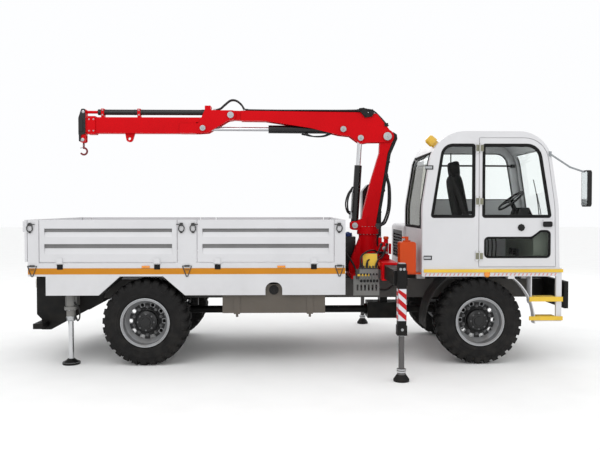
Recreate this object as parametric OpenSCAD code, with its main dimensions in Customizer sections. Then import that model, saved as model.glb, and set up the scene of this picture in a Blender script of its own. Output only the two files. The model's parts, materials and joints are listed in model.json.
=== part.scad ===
// Off-road utility truck with a side cab, a dropside bed and a knuckle-boom loader crane.
// Millimetres. +X is forward, +Y the vehicle's left, +Z up, and the ground is Z = 0.

/* [Layout] */
// bed length from the rear corner posts to the headboard
bed_l = 3943; // [3500:1:4400]
// space between the headboard and the cab, where the crane stands
crane_bay_l = 957; // [900:1:1100]
// cab length at its floor
cab_l = 1722; // [1640:1:1900]
// bed rear edge to the rear axle
rear_overhang = 1465; // [1300:1:1600]
// front axle to the cab's front edge
front_setback = 992; // [960:1:1020]
// outer width over the dropsides
bed_w = 2350; // [2300:1:2500]
// distance between the wheel centres of one axle
track = 1915; // [1880:1:1950]

/* [Heights] */
// frame underside above the ground
frame_z = 750; // [740:1:800]
// frame rail depth
frame_h = 250; // [200:1:260]
// load floor top above the frame top
floor_rise = 281; // [260:1:330]
// dropside height above the floor
board_h = 531; // [400:1:600]
// cab floor underside above the frame top
cab_rise = 209; // [200:1:240]
// cab height from its floor underside to the roof
cab_h = 1700; // [1650:1:1710]

/* [Wheels] */
// tyre outside diameter
tyre_d = 1072; // [1000:1:1080]
// tyre width
tyre_w = 385; // [340:1:400]
// rim flange diameter
rim_d = 610; // [590:1:640]
// rim wall thickness
rim_t = 12; // [8:1:16]
// hub diameter
hub_d = 270; // [220:1:300]
// kingpin distance from the vehicle's centre line
kingpin_y = 820; // [810:1:830]
// spindle diameter
spindle_d = 90; // [70:1:100]

/* [Bed] */
// thickness of a dropside panel
board_t = 45; // [35:1:50]
// load floor thickness
floor_t = 40; // [30:1:60]
// width of a post between dropsides
mid_post_l = 243; // [200:1:280]
// width of a corner post
end_post_l = 141; // [120:1:160]
// depth of the bed's edge rail
edge_rail_h = 165; // [140:1:190]
// depth of the skirt below the edge rail
skirt_h = 235; // [200:1:250]
// skirt sheet thickness
skirt_t = 20; // [10:1:25]

/* [Cab] */
// cab width
cab_w = 1250; // [1150:1:1300]
// cab wall thickness
cab_wall = 45; // [35:1:55]
// side window sill above the cab underside
sill_h = 649; // [600:1:700]
// glass thickness
glass_t = 6; // [4:1:10]
// door thickness
door_t = 45; // [35:1:50]
// gap around the door
door_gap = 6; // [5:1:10]

/* [Crane] */
// slew ring height above the frame top
slew_h = 635; // [600:1:660]
// crane foot tube diameter
foot_d = 252; // [220:1:270]
// inner boom length between its pins
inner_l = 2196; // [2100:1:2300]
// outer boom length from the knuckle pin to its open end
outer_l = 1973; // [1900:1:2020]
// outer boom section height
outer_h = 219; // [200:1:230]
// outer boom section width
outer_w = 132; // [120:1:140]
// boom section wall
boom_wall = 12; // [8:1:14]
// thickness of the knuckle cheek plates
cheek_t = 26; // [18:1:30]
// lift cylinder barrel diameter
lift_d = 105; // [95:1:110]
// lift cylinder rod diameter
lift_rod_d = 70; // [55:1:74]
// fold cylinder barrel diameter
fold_d = 112; // [95:1:114]
// fold cylinder rod diameter
fold_rod_d = 60; // [45:1:66]

/* [Outriggers] */
// leg centre distance from the centre line, drawn out
leg_y = 1930; // [1900:1:2000]
// leg tube width
leg_w = 95; // [90:1:100]
// leg rod diameter
leg_rod_d = 65; // [50:1:68]
// leg foot diameter
foot_pad_d = 177; // [150:1:200]
// beam width along the vehicle
beam_w = 150; // [130:1:154]
// beam height
beam_h = 170; // [150:1:174]
// rear jack foot diameter
jack_pad_d = 214; // [180:1:230]
// rear jack rod diameter
jack_rod_d = 65; // [50:1:68]

/* [Hidden] */
$fn = 48;
eps = 1;
// running clearance at pins, rods and slides, on each side
fit = 0.3;

// ends of the whole machine, kept even about X = 0
tail_l = 15;
nose_l = 293;
all_l = tail_l + bed_l + crane_bay_l + cab_l + nose_l;
x_tail = -all_l / 2;
x_nose = all_l / 2;
bed_x0 = x_tail + tail_l;
bed_x1 = bed_x0 + bed_l;
cab_x0 = bed_x1 + crane_bay_l;
cab_x1 = cab_x0 + cab_l;
ra_x = bed_x0 + rear_overhang;
fa_x = cab_x1 - front_setback;
axle_z = tyre_d / 2;
wheel_y = track / 2;

// heights
frame_top = frame_z + frame_h;
floor_z = frame_top + floor_rise;
board_z = floor_z + board_h;
rail_z = floor_z - edge_rail_h;
skirt_z = rail_z - skirt_h;
cab_z = frame_top + cab_rise;
roof_z = cab_z + cab_h;
base_z = cab_z - 105;
sill_z = cab_z + sill_h;

// frame rails
rail_out = 400;
rail_w = 80;
rail_t = 14;
frame_x0 = bed_x0 + 180;
frame_x1 = cab_x1 - 72;

// bed sides
half_w = bed_w / 2;
rail_face = half_w - 10;
board_x0 = bed_x0 + 45 + end_post_l;
board_l = (bed_x1 - end_post_l - board_x0 - mid_post_l) / 2;
mid_x0 = board_x0 + board_l;
mid_x1 = mid_x0 + mid_post_l;
board_x3 = bed_x1 - end_post_l;
slit = 6;

// cab sides
cab_y0 = 100 - cab_w;
cab_y1 = 100;
door_x0 = cab_x0 + 709;
door_x1 = cab_x1 - 55;
hinge_x = door_x0 - 8;
hinge_y = cab_y0 - 10;
hinge_d = 18;
hinge_z = [cab_z + 150, cab_z + 830, roof_z - 210];

// crane stations
slew_x = bed_x1 + 416;
slew_z = frame_top + slew_h;
luff_x = slew_x + 261;
luff_z = slew_z + 1316;
knuckle_x = luff_x - sqrt(inner_l * inner_l - 291 * 291);
knuckle_z = luff_z + 291;
lift_p = [slew_x - 188, slew_z + 77];
lift_q = [slew_x - 111, slew_z + 1294];
fold_p = [slew_x - 353, slew_z + 1416];
fold_q = [knuckle_x - 384, knuckle_z - 181];
lift_l = norm(lift_q - lift_p);
fold_l = norm(fold_q - fold_p);
box_z0 = knuckle_z - 250;
box_z1 = box_z0 + outer_h;
box_x0 = knuckle_x - outer_l;
box_x1 = knuckle_x - 483;
ram_z = box_z1 + 76;
beam_x = slew_x + 151;
beam_z0 = frame_top + 75;
housing_y = 1100;

// Outline helpers: [x, y, radius] corners become points, and a convex outline shrinks by d.
function unit(v) = v / norm(v);
function left(v) = [-v[1], v[0]];
function xy(p) = [p[0], p[1]];
function corner(a, b, c, r, n) =
    let (u = unit(a - b), v = unit(c - b), half = acos(u * v) / 2)
    let (t = r / tan(half), m = b + unit(u + v) * r / sin(half), p = b + u * t - m, q = b + v * t - m)
    let (a0 = atan2(p[1], p[0]), turn = (atan2(q[1], q[0]) - a0 + 540) % 360 - 180)
    [for (i = [0 : n]) m + r * [cos(a0 + turn * i / n), sin(a0 + turn * i / n)]];
function rounded(pts, n = 8) =
    let (k = len(pts))
    [for (i = [0 : k - 1]) each pts[i][2] == 0
        ? [xy(pts[i])]
        : corner(xy(pts[(i + k - 1) % k]), xy(pts[i]), xy(pts[(i + 1) % k]), pts[i][2], n)];
function inset(pts, d) =
    let (k = len(pts))
    [for (i = [0 : k - 1])
        let (b = xy(pts[i]))
        let (n1 = left(unit(b - xy(pts[(i + k - 1) % k]))), n2 = left(unit(xy(pts[(i + 1) % k]) - b)))
        let (p = b + d * (n1 + n2) / (1 + n1 * n2))
        [p[0], p[1], max(pts[i][2] - d, 0)]];

module box(x0, x1, y0, y1, z0, z1) {
    translate([x0, y0, z0])
        cube([x1 - x0, y1 - y0, z1 - z0]);
}

module both() {
    children();
    mirror([0, 1, 0])
        children();
}

module xcyl(x0, x1, y, z, d) {
    translate([x0, y, z])
        rotate([0, 90, 0])
            cylinder(d = d, h = x1 - x0);
}

module ycyl(x, y0, y1, z, d) {
    translate([x, y1, z])
        rotate([90, 0, 0])
            cylinder(d = d, h = y1 - y0);
}

module zcyl(x, y, z0, z1, d) {
    translate([x, y, z0])
        cylinder(d = d, h = z1 - z0);
}

module side_plate(pts, y0, y1) {
    translate([0, y1, 0])
        rotate([90, 0, 0])
            linear_extrude(height = y1 - y0)
                polygon(pts);
}

module end_plate(pts, x0, x1) {
    translate([x0, 0, 0])
        rotate([90, 0, 90])
            linear_extrude(height = x1 - x0)
                polygon(pts);
}

// children along +Z are laid from p towards q in the XZ plane
module along(p, q) {
    translate([p[0], 0, p[1]])
        rotate([0, atan2(q[0] - p[0], q[1] - p[1]), 0])
            children();
}

module rod_between(a, b, d) {
    v = b - a;
    translate(a)
        rotate([0, acos(v[2] / norm(v)), atan2(v[1], v[0])])
            cylinder(d = d, h = norm(v));
}

// Chassis
cross_x = [
    frame_x0 + 60, frame_x0 + 700, ra_x + 520, bed_x1 - 900, bed_x1 - 180, beam_x + 60, frame_x1 - 60
];

module frame() {
    rail = [
        [rail_out - rail_w, frame_z], [rail_out, frame_z], [rail_out, frame_top],
        [rail_out - rail_w, frame_top], [rail_out - rail_w, frame_top - rail_t],
        [rail_out - rail_t, frame_top - rail_t], [rail_out - rail_t, frame_z + rail_t],
        [rail_out - rail_w, frame_z + rail_t]
    ];
    color("dimgray") {
        both()
            end_plate(rail, frame_x0, frame_x1);
        for (x = cross_x)
            box(x - 50, x + 50, -rail_out + eps, rail_out - eps, frame_z + 40, frame_top - 40);
    }
}

spring_y = rail_out - rail_w / 2;
axle_tube_d = 130;
spring_half = 560;

module axle_core(x, end_y) {
    ycyl(x, -end_y, end_y, axle_z, axle_tube_d);
    ycyl(x, -110, 110, axle_z, 310);
    both() {
        box(x - 70, x + 70, spring_y - 45, spring_y + 45, axle_z, axle_z + 110);
        box(x - spring_half, x + spring_half, spring_y - 38, spring_y + 38, axle_z + 110, axle_z + 140);
        box(x - spring_half + 200, x + spring_half - 200, spring_y - 38, spring_y + 38,
            axle_z + 90, axle_z + 115);
        for (s = [-1, 1])
            box(x + s * (spring_half - 40) - 40, x + s * (spring_half - 40) + 40,
                spring_y - 38, spring_y + 38, axle_z + 120, frame_z);
    }
}

module nose_cone(x, s) {
    translate([x, 0, axle_z])
        rotate([0, s * 90, 0])
            cylinder(d1 = 260, d2 = 130, h = 230);
}

fork_y = kingpin_y - spindle_d / 2 - 5;
fork_h = 190;
kingpin_d = 40;

module front_axle() {
    color("black") {
        difference() {
            union() {
                axle_core(fa_x, fork_y - 20);
                nose_cone(fa_x, -1);
                both() {
                    box(fa_x - 62, fa_x + 62, fork_y - 30, fork_y, axle_z - fork_h, axle_z + fork_h);
                    for (s = [-1, 1])
                        box(fa_x - 62, fa_x + 62, fork_y - 10, kingpin_y + 42,
                            axle_z + (s > 0 ? 155 : -fork_h), axle_z + (s > 0 ? fork_h : -155));
                }
            }
            both()
                zcyl(fa_x, kingpin_y, axle_z - 300, axle_z + 300, kingpin_d + 2 * fit);
        }
    }
}

spindle_end = wheel_y - 24;

module rear_axle() {
    color("black") {
        axle_core(ra_x, kingpin_y - 60);
        nose_cone(ra_x, 1);
        both() {
            ycyl(ra_x, kingpin_y - 90, kingpin_y - 20, axle_z, 240);
            ycyl(ra_x, kingpin_y - 40, spindle_end, axle_z, spindle_d);
        }
    }
}

module knuckle() {
    zcyl(fa_x, kingpin_y, axle_z - 145, axle_z + 145, spindle_d);
    zcyl(fa_x, kingpin_y, axle_z - fork_h, axle_z + fork_h, kingpin_d);
    ycyl(fa_x, kingpin_y, spindle_end, axle_z, spindle_d);
}

module knuckle_left() {
    color("black")
        knuckle();
}

module knuckle_right() {
    color("black")
        mirror([0, 1, 0])
            knuckle();
}

drop_x0 = slew_x - 15;
drop_x1 = slew_x + 450;
shaft_d = 100;

module driveline() {
    color("black") {
        box(drop_x0, drop_x1, -150, 150, axle_z - 110, axle_z + 110);
        box(cross_x[5] - 50, cross_x[5] + 50, -120, 120, axle_z + 100, frame_z + 40);
        xcyl(ra_x + 230, drop_x0 + eps, 0, axle_z, shaft_d);
        xcyl(drop_x1 - eps, fa_x - 230, 0, axle_z, shaft_d);
        for (x = [ra_x + 230, drop_x0 - 40, drop_x1, fa_x - 270])
            xcyl(x, x + 40, 0, axle_z, 150);
    }
}

engine_y1 = 560;

module engine() {
    color("dimgray") {
        box(cab_x0 + 210, cab_x1 - 280, cab_y1 + 70, engine_y1, frame_top, frame_top + 560);
        box(cab_x0 + 300, cab_x1 - 400, cab_y1 + 120, engine_y1 - 60, frame_top + 540, frame_top + 620);
    }
}

tank_x0 = bed_x1 - 1524;
tank_x1 = bed_x1 - 248;
tank_z0 = skirt_z - 230;
tank_z1 = skirt_z + 130;
tank_out = half_w - 60;
tank_in = tank_out - 540;

module tanks() {
    color("gray") {
        both() {
            box(tank_x0, tank_x1, tank_in, tank_out, tank_z0, tank_z1);
            for (x = [tank_x0 + 178, tank_x1 - 190]) {
                box(x - 38, x + 38, tank_in - 12, tank_out + 8, tank_z0 - 12, tank_z1 + 8);
                box(x - 30, x + 30, rail_out, tank_in, frame_z + 30, tank_z1 - 20);
                box(x - 14, x + 14, tank_out - 60, tank_out - 20, tank_z0 - 52, tank_z0);
            }
        }
    }
}

// Bed
arch_top = rail_z;
arch_bot = 528;
arch_flat = 262;
filler_x = bed_x1 - 886;
pin_d = 20;
hinge_out = 5;
knuckle_half = 35;
ear_t = 14;
hinge_in = 250;
board_hinges = [board_x0 + hinge_in, mid_x0 - hinge_in, mid_x1 + hinge_in, board_x3 - hinge_in];
gate_hinges = [-700, 0, 700];

// the rear arch's four corners, moved inwards by t
function arch_line(t) = [
    [ra_x - arch_bot - 32 + t, skirt_z], [ra_x - arch_flat - 37 + t * 0.55, arch_top - 1 - t],
    [ra_x + arch_flat - 33 - t * 0.55, arch_top - 1 - t], [ra_x + arch_bot - 30 - t, skirt_z]
];

module skirt() {
    difference() {
        side_plate([
            [bed_x0 + 261, rail_z + eps], [bed_x0 + 261, skirt_z], each arch_line(0),
            [bed_x1, skirt_z], [bed_x1, rail_z + eps]
        ], rail_face - skirt_t, rail_face);
        side_plate(rounded([
            [filler_x - 104, skirt_z - 10, 0], [filler_x + 104, skirt_z - 10, 0],
            [filler_x + 104, skirt_z + 158, 90], [filler_x - 104, skirt_z + 158, 90]
        ], 12), rail_face - 100, rail_face + 100);
    }
}

module bed() {
    color("white") {
        box(bed_x0 + 45, bed_x1, -rail_face, rail_face, floor_z - floor_t, floor_z);
        both() {
            box(bed_x0 + 45, bed_x1, rail_face - 60, rail_face, rail_z, floor_z - eps);
            box(frame_x0 + 10, bed_x1 - 40, rail_out - rail_w, rail_out, frame_top, floor_z - eps);
            box(bed_x0 + 45, board_x0 - slit, half_w - board_t - 5, rail_face, floor_z - eps, board_z);
            box(mid_x0 + slit, mid_x1 - slit, half_w - board_t - 5, rail_face, floor_z - eps, board_z);
            box(board_x3 + slit, bed_x1, half_w - board_t - 5, rail_face, floor_z - eps, board_z);
            skirt();
            for (x = board_hinges)
                for (x0 = [x - knuckle_half - ear_t, x + knuckle_half + fit]) {
                    xcyl(x0, x0 + ear_t - fit, half_w + hinge_out, floor_z, pin_d - 4);
                    box(x0, x0 + ear_t - fit, rail_face - eps, half_w + hinge_out, floor_z - 8, floor_z + 8);
                }
        }
        for (y = gate_hinges)
            for (y0 = [y - knuckle_half - ear_t, y + knuckle_half + fit]) {
                ycyl(bed_x0 - hinge_out, y0, y0 + ear_t - fit, floor_z, pin_d - 4);
                box(bed_x0 - hinge_out, bed_x0 + 46, y0, y0 + ear_t - fit, floor_z - 8, floor_z + 8);
            }
        for (x = [bed_x0 + 45, bed_x0 + 900, ra_x + 500, bed_x1 - 1250, bed_x1 - 600, bed_x1 - 60])
            box(x, x + 60, -rail_face + 10, rail_face - 10, rail_z, floor_z - eps);
        box(bed_x1 - 40, bed_x1, -rail_face, rail_face, floor_z - eps, board_z);
    }
}

// a panel that stands on the +Y side, pressed with two ribs that slope in and step out again
rib_in = 22;
panel_frame = 64;
ribs = [for (r = [[0.205, 0.341, 0.439], [0.6, 0.714, 0.797]]) r * board_h];

module dropside(x0, x1) {
    in = half_w - board_t;
    section = concat(
        [[in, floor_z + 14], [half_w, floor_z + 14]],
        [for (r = ribs) each [
            [half_w, floor_z + r[0]], [half_w - rib_in, floor_z + r[1]],
            [half_w - rib_in, floor_z + r[2]], [half_w, floor_z + r[2]]
        ]],
        [[half_w, board_z], [in, board_z]]
    );
    union() {
        end_plate(section, x0 + panel_frame - eps, x1 - panel_frame + eps);
        for (x = [x0 + slit, x1 - panel_frame])
            box(x, x + panel_frame - slit, in, half_w, floor_z + 14, board_z);
        for (x = [x0 + hinge_in, x1 - hinge_in]) {
            xcyl(x - knuckle_half, x + knuckle_half, half_w + hinge_out, floor_z, pin_d);
            box(x - knuckle_half, x + knuckle_half, half_w - 9, half_w + hinge_out + pin_d / 2,
                floor_z, floor_z + 60);
        }
    }
}

module dropside_rear_left() {
    color("white")
        dropside(board_x0, mid_x0);
}

module dropside_rear_right() {
    color("white")
        mirror([0, 1, 0])
            dropside(board_x0, mid_x0);
}

module dropside_front_left() {
    color("white")
        dropside(mid_x1, board_x3);
}

module dropside_front_right() {
    color("white")
        mirror([0, 1, 0])
            dropside(mid_x1, board_x3);
}

module tailgate() {
    x = bed_x0;
    color("white") {
        box(x + 8, x + 38, -half_w + 12, half_w - 12, floor_z + 14, board_z);
        for (i = [0 : 2])
            box(x, x + 10, -half_w + 60, half_w - 60, floor_z + 30 + i * 157, floor_z + 165 + i * 157);
        for (y = gate_hinges) {
            ycyl(x - hinge_out, y - knuckle_half, y + knuckle_half, floor_z, pin_d);
            box(x - hinge_out - pin_d / 2, x + 9, y - knuckle_half, y + knuckle_half, floor_z, floor_z + 60);
        }
        both()
            box(x_tail, x + 10, half_w - 52, half_w - 20, board_z - 150, board_z - 20);
    }
}

guard_y = 860;
tow_d = 25;
tow_r = 24;
tow_w = 40;

module rear_guard() {
    plate = [
        [frame_x0 - 140, rail_z - 4], [bed_x0 + 1000, rail_z - 4], [bed_x0 + 860, skirt_z - 127],
        [bed_x0 + 220, axle_z - 126], [bed_x0 + 100, axle_z - 126], [bed_x0 + 100, axle_z + 8],
        [frame_x0 - 140, axle_z + 70]
    ];
    color("black") {
        difference() {
            union() {
                both()
                    side_plate(plate, guard_y - 20, guard_y);
                box(frame_x0 - 140, frame_x0, -guard_y + eps, guard_y - eps, frame_z + 40, rail_z - 4);
                box(bed_x0 + 82, bed_x0 + 200, -half_w + 60, half_w - 60, axle_z - 76, axle_z - 12);
                side_plate(rounded([
                    [frame_x0 - 130, frame_z + 80, 0], [bed_x0 - 12, frame_z - 5, tow_r],
                    [bed_x0 - 12, frame_z - 55, tow_r], [frame_x0 - 100, frame_z - 55, 10],
                    [frame_x0 - 60, frame_z + 80, 0]
                ]), -tow_w / 2, tow_w / 2);
                both()
                    box(frame_x0 + 240, frame_x0 + 340, rail_out, guard_y - 19, frame_z + 60, frame_z + 160);
            }
            ycyl(bed_x0 - 12 + tow_r, -tow_w, tow_w, frame_z - 30, tow_d);
        }
    }
}

jack_x = bed_x0 + 515;
jack_y = 1000;
jack_z0 = 560;
jack_z1 = 869;

module rear_jack_bodies() {
    color("gray") {
        both() {
            difference() {
                union() {
                    zcyl(jack_x, jack_y, jack_z0, jack_z1, 110);
                    zcyl(jack_x, jack_y, jack_z0 + 130, jack_z0 + 165, 160);
                    box(jack_x - 70, jack_x + 70, guard_y, jack_y, jack_z0 + 170, jack_z1 - 20);
                }
                zcyl(jack_x, jack_y, jack_z0 - 10, jack_z1 - 25, jack_rod_d + 2 * fit);
            }
        }
    }
}

module jack() {
    zcyl(jack_x, jack_y, 40, jack_z0 + 40, jack_rod_d);
    zcyl(jack_x, jack_y, 0, 30, jack_pad_d);
    translate([jack_x, jack_y, 29])
        cylinder(d1 = jack_pad_d - 40, d2 = jack_rod_d + 20, h = 40);
}

module jack_left() {
    color("silver")
        jack();
}

module jack_right() {
    color("silver")
        mirror([0, 1, 0])
            jack();
}

// Wheels
rim_r = rim_d / 2;
bead_r = rim_r - 19;
tyre_r = tyre_d / 2;
disc_y = 10;
lug_n = 22;
lug_h = 20;
lug_gap = 40;

module tyre(x, y) {
    h = tyre_w / 2;
    wall = 24;
    section = [
        [bead_r, -h + 40], [bead_r + 8, -h + 26], [rim_r + 30, -h + 6], [rim_r + 90, -h],
        [tyre_r - 90, -h + 4], [tyre_r - 38, -h + 18], [tyre_r - 14, -h + 36], [tyre_r, -h + 60],
        [tyre_r, h - 60], [tyre_r - 14, h - 36], [tyre_r - 38, h - 18], [tyre_r - 90, h - 4],
        [rim_r + 90, h], [rim_r + 30, h - 6], [bead_r + 8, h - 26], [bead_r, h - 40],
        [bead_r, h - 80], [rim_r + 20, h - 30 - wall / 2], [rim_r + 90, h - wall], [tyre_r - 90, h - wall],
        [tyre_r - 46, h - 70], [tyre_r - 46, 70 - h], [tyre_r - 90, wall - h], [rim_r + 90, wall - h],
        [rim_r + 20, 30 + wall / 2 - h], [bead_r, 80 - h]
    ];
    translate([x, y, axle_z])
        rotate([90, 0, 0])
            difference() {
                rotate_extrude($fn = 96)
                    polygon(section);
                for (i = [0 : lug_n - 1], s = [-1, 1])
                    rotate([0, 0, (i + s / 4) * 360 / lug_n])
                        translate([tyre_r - lug_h, 0, s * h / 2])
                            rotate([s * 14, 0, 0])
                                translate([0, -lug_gap / 2, -h / 2 + 16])
                                    cube([2 * lug_h, lug_gap, h - 2]);
            }
}

// the outer face looks to +Y
module rim(x) {
    h = tyre_w / 2;
    section = [
        [bead_r - rim_t, 10 - h], [rim_r, 6 - h], [rim_r, 16 - h], [bead_r, 30 - h],
        [bead_r, h - 30], [rim_r, h - 16], [rim_r, h - 6], [bead_r - rim_t, h - 10],
        [bead_r - rim_t, disc_y + 60], [bead_r - 60, disc_y + 14], [hub_d / 2 + 15, disc_y + 4],
        [hub_d / 2, disc_y + 4], [hub_d / 2, 110], [hub_d / 2 - 30, 130], [0, 130], [0, -18],
        [spindle_d / 2 + fit, -18], [spindle_d / 2 + fit, -60], [hub_d / 2 - 25, -60],
        [hub_d / 2 - 25, disc_y - 12],
        [hub_d / 2 + 15, disc_y - 12],
        [bead_r - 66, disc_y - 2], [bead_r - rim_t, disc_y + 40]
    ];
    translate([x, wheel_y, axle_z])
        rotate([-90, 0, 0])
            difference() {
                rotate_extrude($fn = 96)
                    polygon(section);
                for (i = [0 : 9])
                    rotate([0, 0, i * 36])
                        translate([bead_r - 78, 0, disc_y - 60])
                            cylinder(d = 46, h = 150);
            }
}

module tyre_front_left() {
    color("black")
        tyre(fa_x, wheel_y);
}

module tyre_front_right() {
    color("black")
        tyre(fa_x, -wheel_y);
}

module tyre_rear_left() {
    color("black")
        tyre(ra_x, wheel_y);
}

module tyre_rear_right() {
    color("black")
        tyre(ra_x, -wheel_y);
}

module rim_front_left() {
    color("silver")
        rim(fa_x);
}

module rim_front_right() {
    color("silver")
        mirror([0, 1, 0])
            rim(fa_x);
}

module rim_rear_left() {
    color("silver")
        rim(ra_x);
}

module rim_rear_right() {
    color("silver")
        mirror([0, 1, 0])
            rim(ra_x);
}

// Cab
cab_side = [
    [cab_x0, cab_z, 0], [cab_x1, cab_z, 0], [cab_x1 - 16, cab_z + 760, 1200],
    [cab_x1 - 160, roof_z, 420], [cab_x0 + 148, roof_z, 450], [cab_x0, cab_z + 770, 900]
];
top_w = roof_z - 180;
win_rear = [
    [cab_x0 + 130, sill_z, 12], [door_x0 - 76, sill_z, 12],
    [door_x0 - 76, top_w, 12], [cab_x0 + 268, top_w, 130]
];
win_door = [
    [door_x0 + 62, sill_z, 12], [cab_x1 - 132, sill_z, 12],
    [cab_x1 - 278, top_w, 170], [door_x0 + 62, top_w, 12]
];
win_low = [
    [door_x0 + 80, cab_z + 140, 40], [cab_x1 - 132, cab_z + 140, 40], [cab_x1 - 132, cab_z + 456, 40],
    [cab_x1 - 240, cab_z + 456, 40], [cab_x1 - 350, cab_z + 372, 60], [door_x0 + 80, cab_z + 372, 40]
];
far_sill = sill_z + 210;
win_far = [
    [cab_x0 + 200, far_sill, 12], [cab_x1 - 175, far_sill, 12],
    [cab_x1 - 285, top_w, 170], [cab_x0 + 268, top_w, 130]
];
end_win = [
    [cab_y0 + cab_wall + 70, cab_z + 510, 30], [cab_y1 - cab_wall - 70, cab_z + 510, 30],
    [cab_y1 - cab_wall - 70, roof_z - 270, 60], [cab_y0 + cab_wall + 70, roof_z - 270, 60]
];
front_win = [
    [cab_y0 + cab_wall + 50, cab_z + 400, 30], [cab_y1 - cab_wall - 50, cab_z + 400, 30],
    [cab_y1 - cab_wall - 50, roof_z - 210, 60], [cab_y0 + cab_wall + 50, roof_z - 210, 60]
];
door_out = [
    [door_x0, cab_z + 16, 12], [door_x1, cab_z + 16, 12], [door_x1 - 12, cab_z + 760, 1100],
    [cab_x1 - 190, roof_z - 85, 300], [door_x0, roof_z - 85, 12]
];

module window_cuts() {
    side_plate(rounded(win_rear), cab_y0 - 10, cab_y0 + cab_wall + 10);
    side_plate(rounded(win_far), cab_y1 - cab_wall - 10, cab_y1 + 10);
    end_plate(rounded(end_win), cab_x0 - 10, cab_x0 + 330);
    end_plate(rounded(front_win), cab_x1 - 330, cab_x1 + 10);
}

module cab_shell() {
    color("white") {
        difference() {
            side_plate(rounded(cab_side, 12), cab_y0, cab_y1);
            side_plate(rounded(inset(cab_side, cab_wall), 12), cab_y0 + cab_wall, cab_y1 - cab_wall);
            window_cuts();
            side_plate(rounded(inset(door_out, -door_gap)), cab_y0 - 10, cab_y0 + cab_wall + 10);
        }
        for (z = hinge_z) {
            box(hinge_x - 38, hinge_x - 11, hinge_y, cab_y0 + eps, z - 60, z + 60);
            for (z0 = [z - 60, z + 40 + fit]) {
                zcyl(hinge_x, hinge_y, z0, z0 + 20 - fit, hinge_d);
                box(hinge_x - 38, hinge_x, hinge_y - hinge_d / 2, hinge_y + eps, z0, z0 + 20 - fit);
            }
        }
    }
}

module cab_glass() {
    mid = cab_wall / 2;
    color("lightblue") {
        side_plate(rounded(win_rear), cab_y0 + mid, cab_y0 + mid + glass_t);
        side_plate(rounded(win_far), cab_y1 - mid, cab_y1 - mid + glass_t);
        intersection() {
            difference() {
                side_plate(rounded(inset(cab_side, mid), 12), cab_y0 + cab_wall, cab_y1 - cab_wall);
                side_plate(rounded(inset(cab_side, mid + glass_t), 12), cab_y0, cab_y1);
            }
            union() {
                end_plate(rounded(end_win), cab_x0 - 10, cab_x0 + 330);
                end_plate(rounded(front_win), cab_x1 - 330, cab_x1 + 10);
            }
        }
    }
}

module door() {
    color("white") {
        difference() {
            side_plate(rounded(door_out), cab_y0, cab_y0 + door_t);
            side_plate(rounded(win_door), cab_y0 - 10, cab_y0 + door_t + 10);
            side_plate(rounded(win_low), cab_y0 - 10, cab_y0 + door_t + 10);
        }
        for (z = hinge_z) {
            zcyl(hinge_x, hinge_y, z - 40, z + 40, hinge_d);
            box(door_x0 - 8, door_x0 + 45, hinge_y - 8, cab_y0 - 3, z - 40, z + 40);
            box(door_x0 + 4, door_x0 + 45, cab_y0 - 8, cab_y0 + eps, z - 40, z + 40);
        }
        box(door_x1 - 160, door_x1 - 30, cab_y0 - 28, cab_y0 + 1, sill_z - 110, sill_z - 45);
    }
}

module door_glass() {
    mid = door_t / 2;
    color("lightblue") {
        side_plate(rounded(win_door), cab_y0 + mid, cab_y0 + mid + glass_t);
        side_plate(rounded(win_low), cab_y0 + mid, cab_y0 + mid + glass_t);
    }
}

module cab_base() {
    lip = 30;
    color("white") {
        box(cab_x0, cab_x1 + 28, cab_y0, cab_y1, cab_z - 40, cab_z);
        box(cab_x0, cab_x1 + 28, cab_y0, cab_y0 + lip, base_z, cab_z - 39);
        box(cab_x0, cab_x1 + 28, cab_y1 - lip, cab_y1, base_z, cab_z - 39);
        box(cab_x0, cab_x0 + lip, cab_y0, cab_y1, base_z, cab_z - 39);
        box(cab_x1 + 28 - lip, cab_x1 + 28, cab_y0, cab_y1, base_z, cab_z - 39);
        for (x = [cab_x0 + 80, cab_x1 - 220])
            box(x, x + 110, -rail_out, -rail_out + rail_w, frame_top, cab_z - 39);
    }
}

seat_x = cab_x0 + 640;
seat_y = (cab_y0 + cab_y1) / 2;
cab_in = cab_z + cab_wall;
seat_in = cab_in + 65;

module seat() {
    back = [
        [seat_x - 70, seat_in + 400, 30], [seat_x + 60, seat_in + 400, 30],
        [seat_x - 40, seat_in + 1010, 40], [seat_x - 150, seat_in + 1010, 40]
    ];
    color("black") {
        box(seat_x, seat_x + 300, seat_y - 180, seat_y + 180, cab_in, seat_in + 330);
        side_plate(rounded([
            [seat_x - 20, seat_in + 325, 30], [seat_x + 500, seat_in + 325, 40],
            [seat_x + 500, seat_in + 460, 50], [seat_x - 20, seat_in + 430, 30]
        ]), seat_y - 250, seat_y + 250);
        side_plate(rounded(back), seat_y - 240, seat_y + 240);
        box(seat_x - 125, seat_x - 95, seat_y - 60, seat_y + 60, seat_in + 990, seat_in + 1080);
        side_plate(rounded([
            [seat_x - 155, seat_in + 1060, 25], [seat_x - 65, seat_in + 1060, 25],
            [seat_x - 75, seat_in + 1230, 30], [seat_x - 165, seat_in + 1230, 30]
        ]), seat_y - 130, seat_y + 130);
    }
}

dash_x0 = cab_x1 - 330;
wheel_c = [dash_x0 - 80, seat_y, cab_in + 800];

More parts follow.
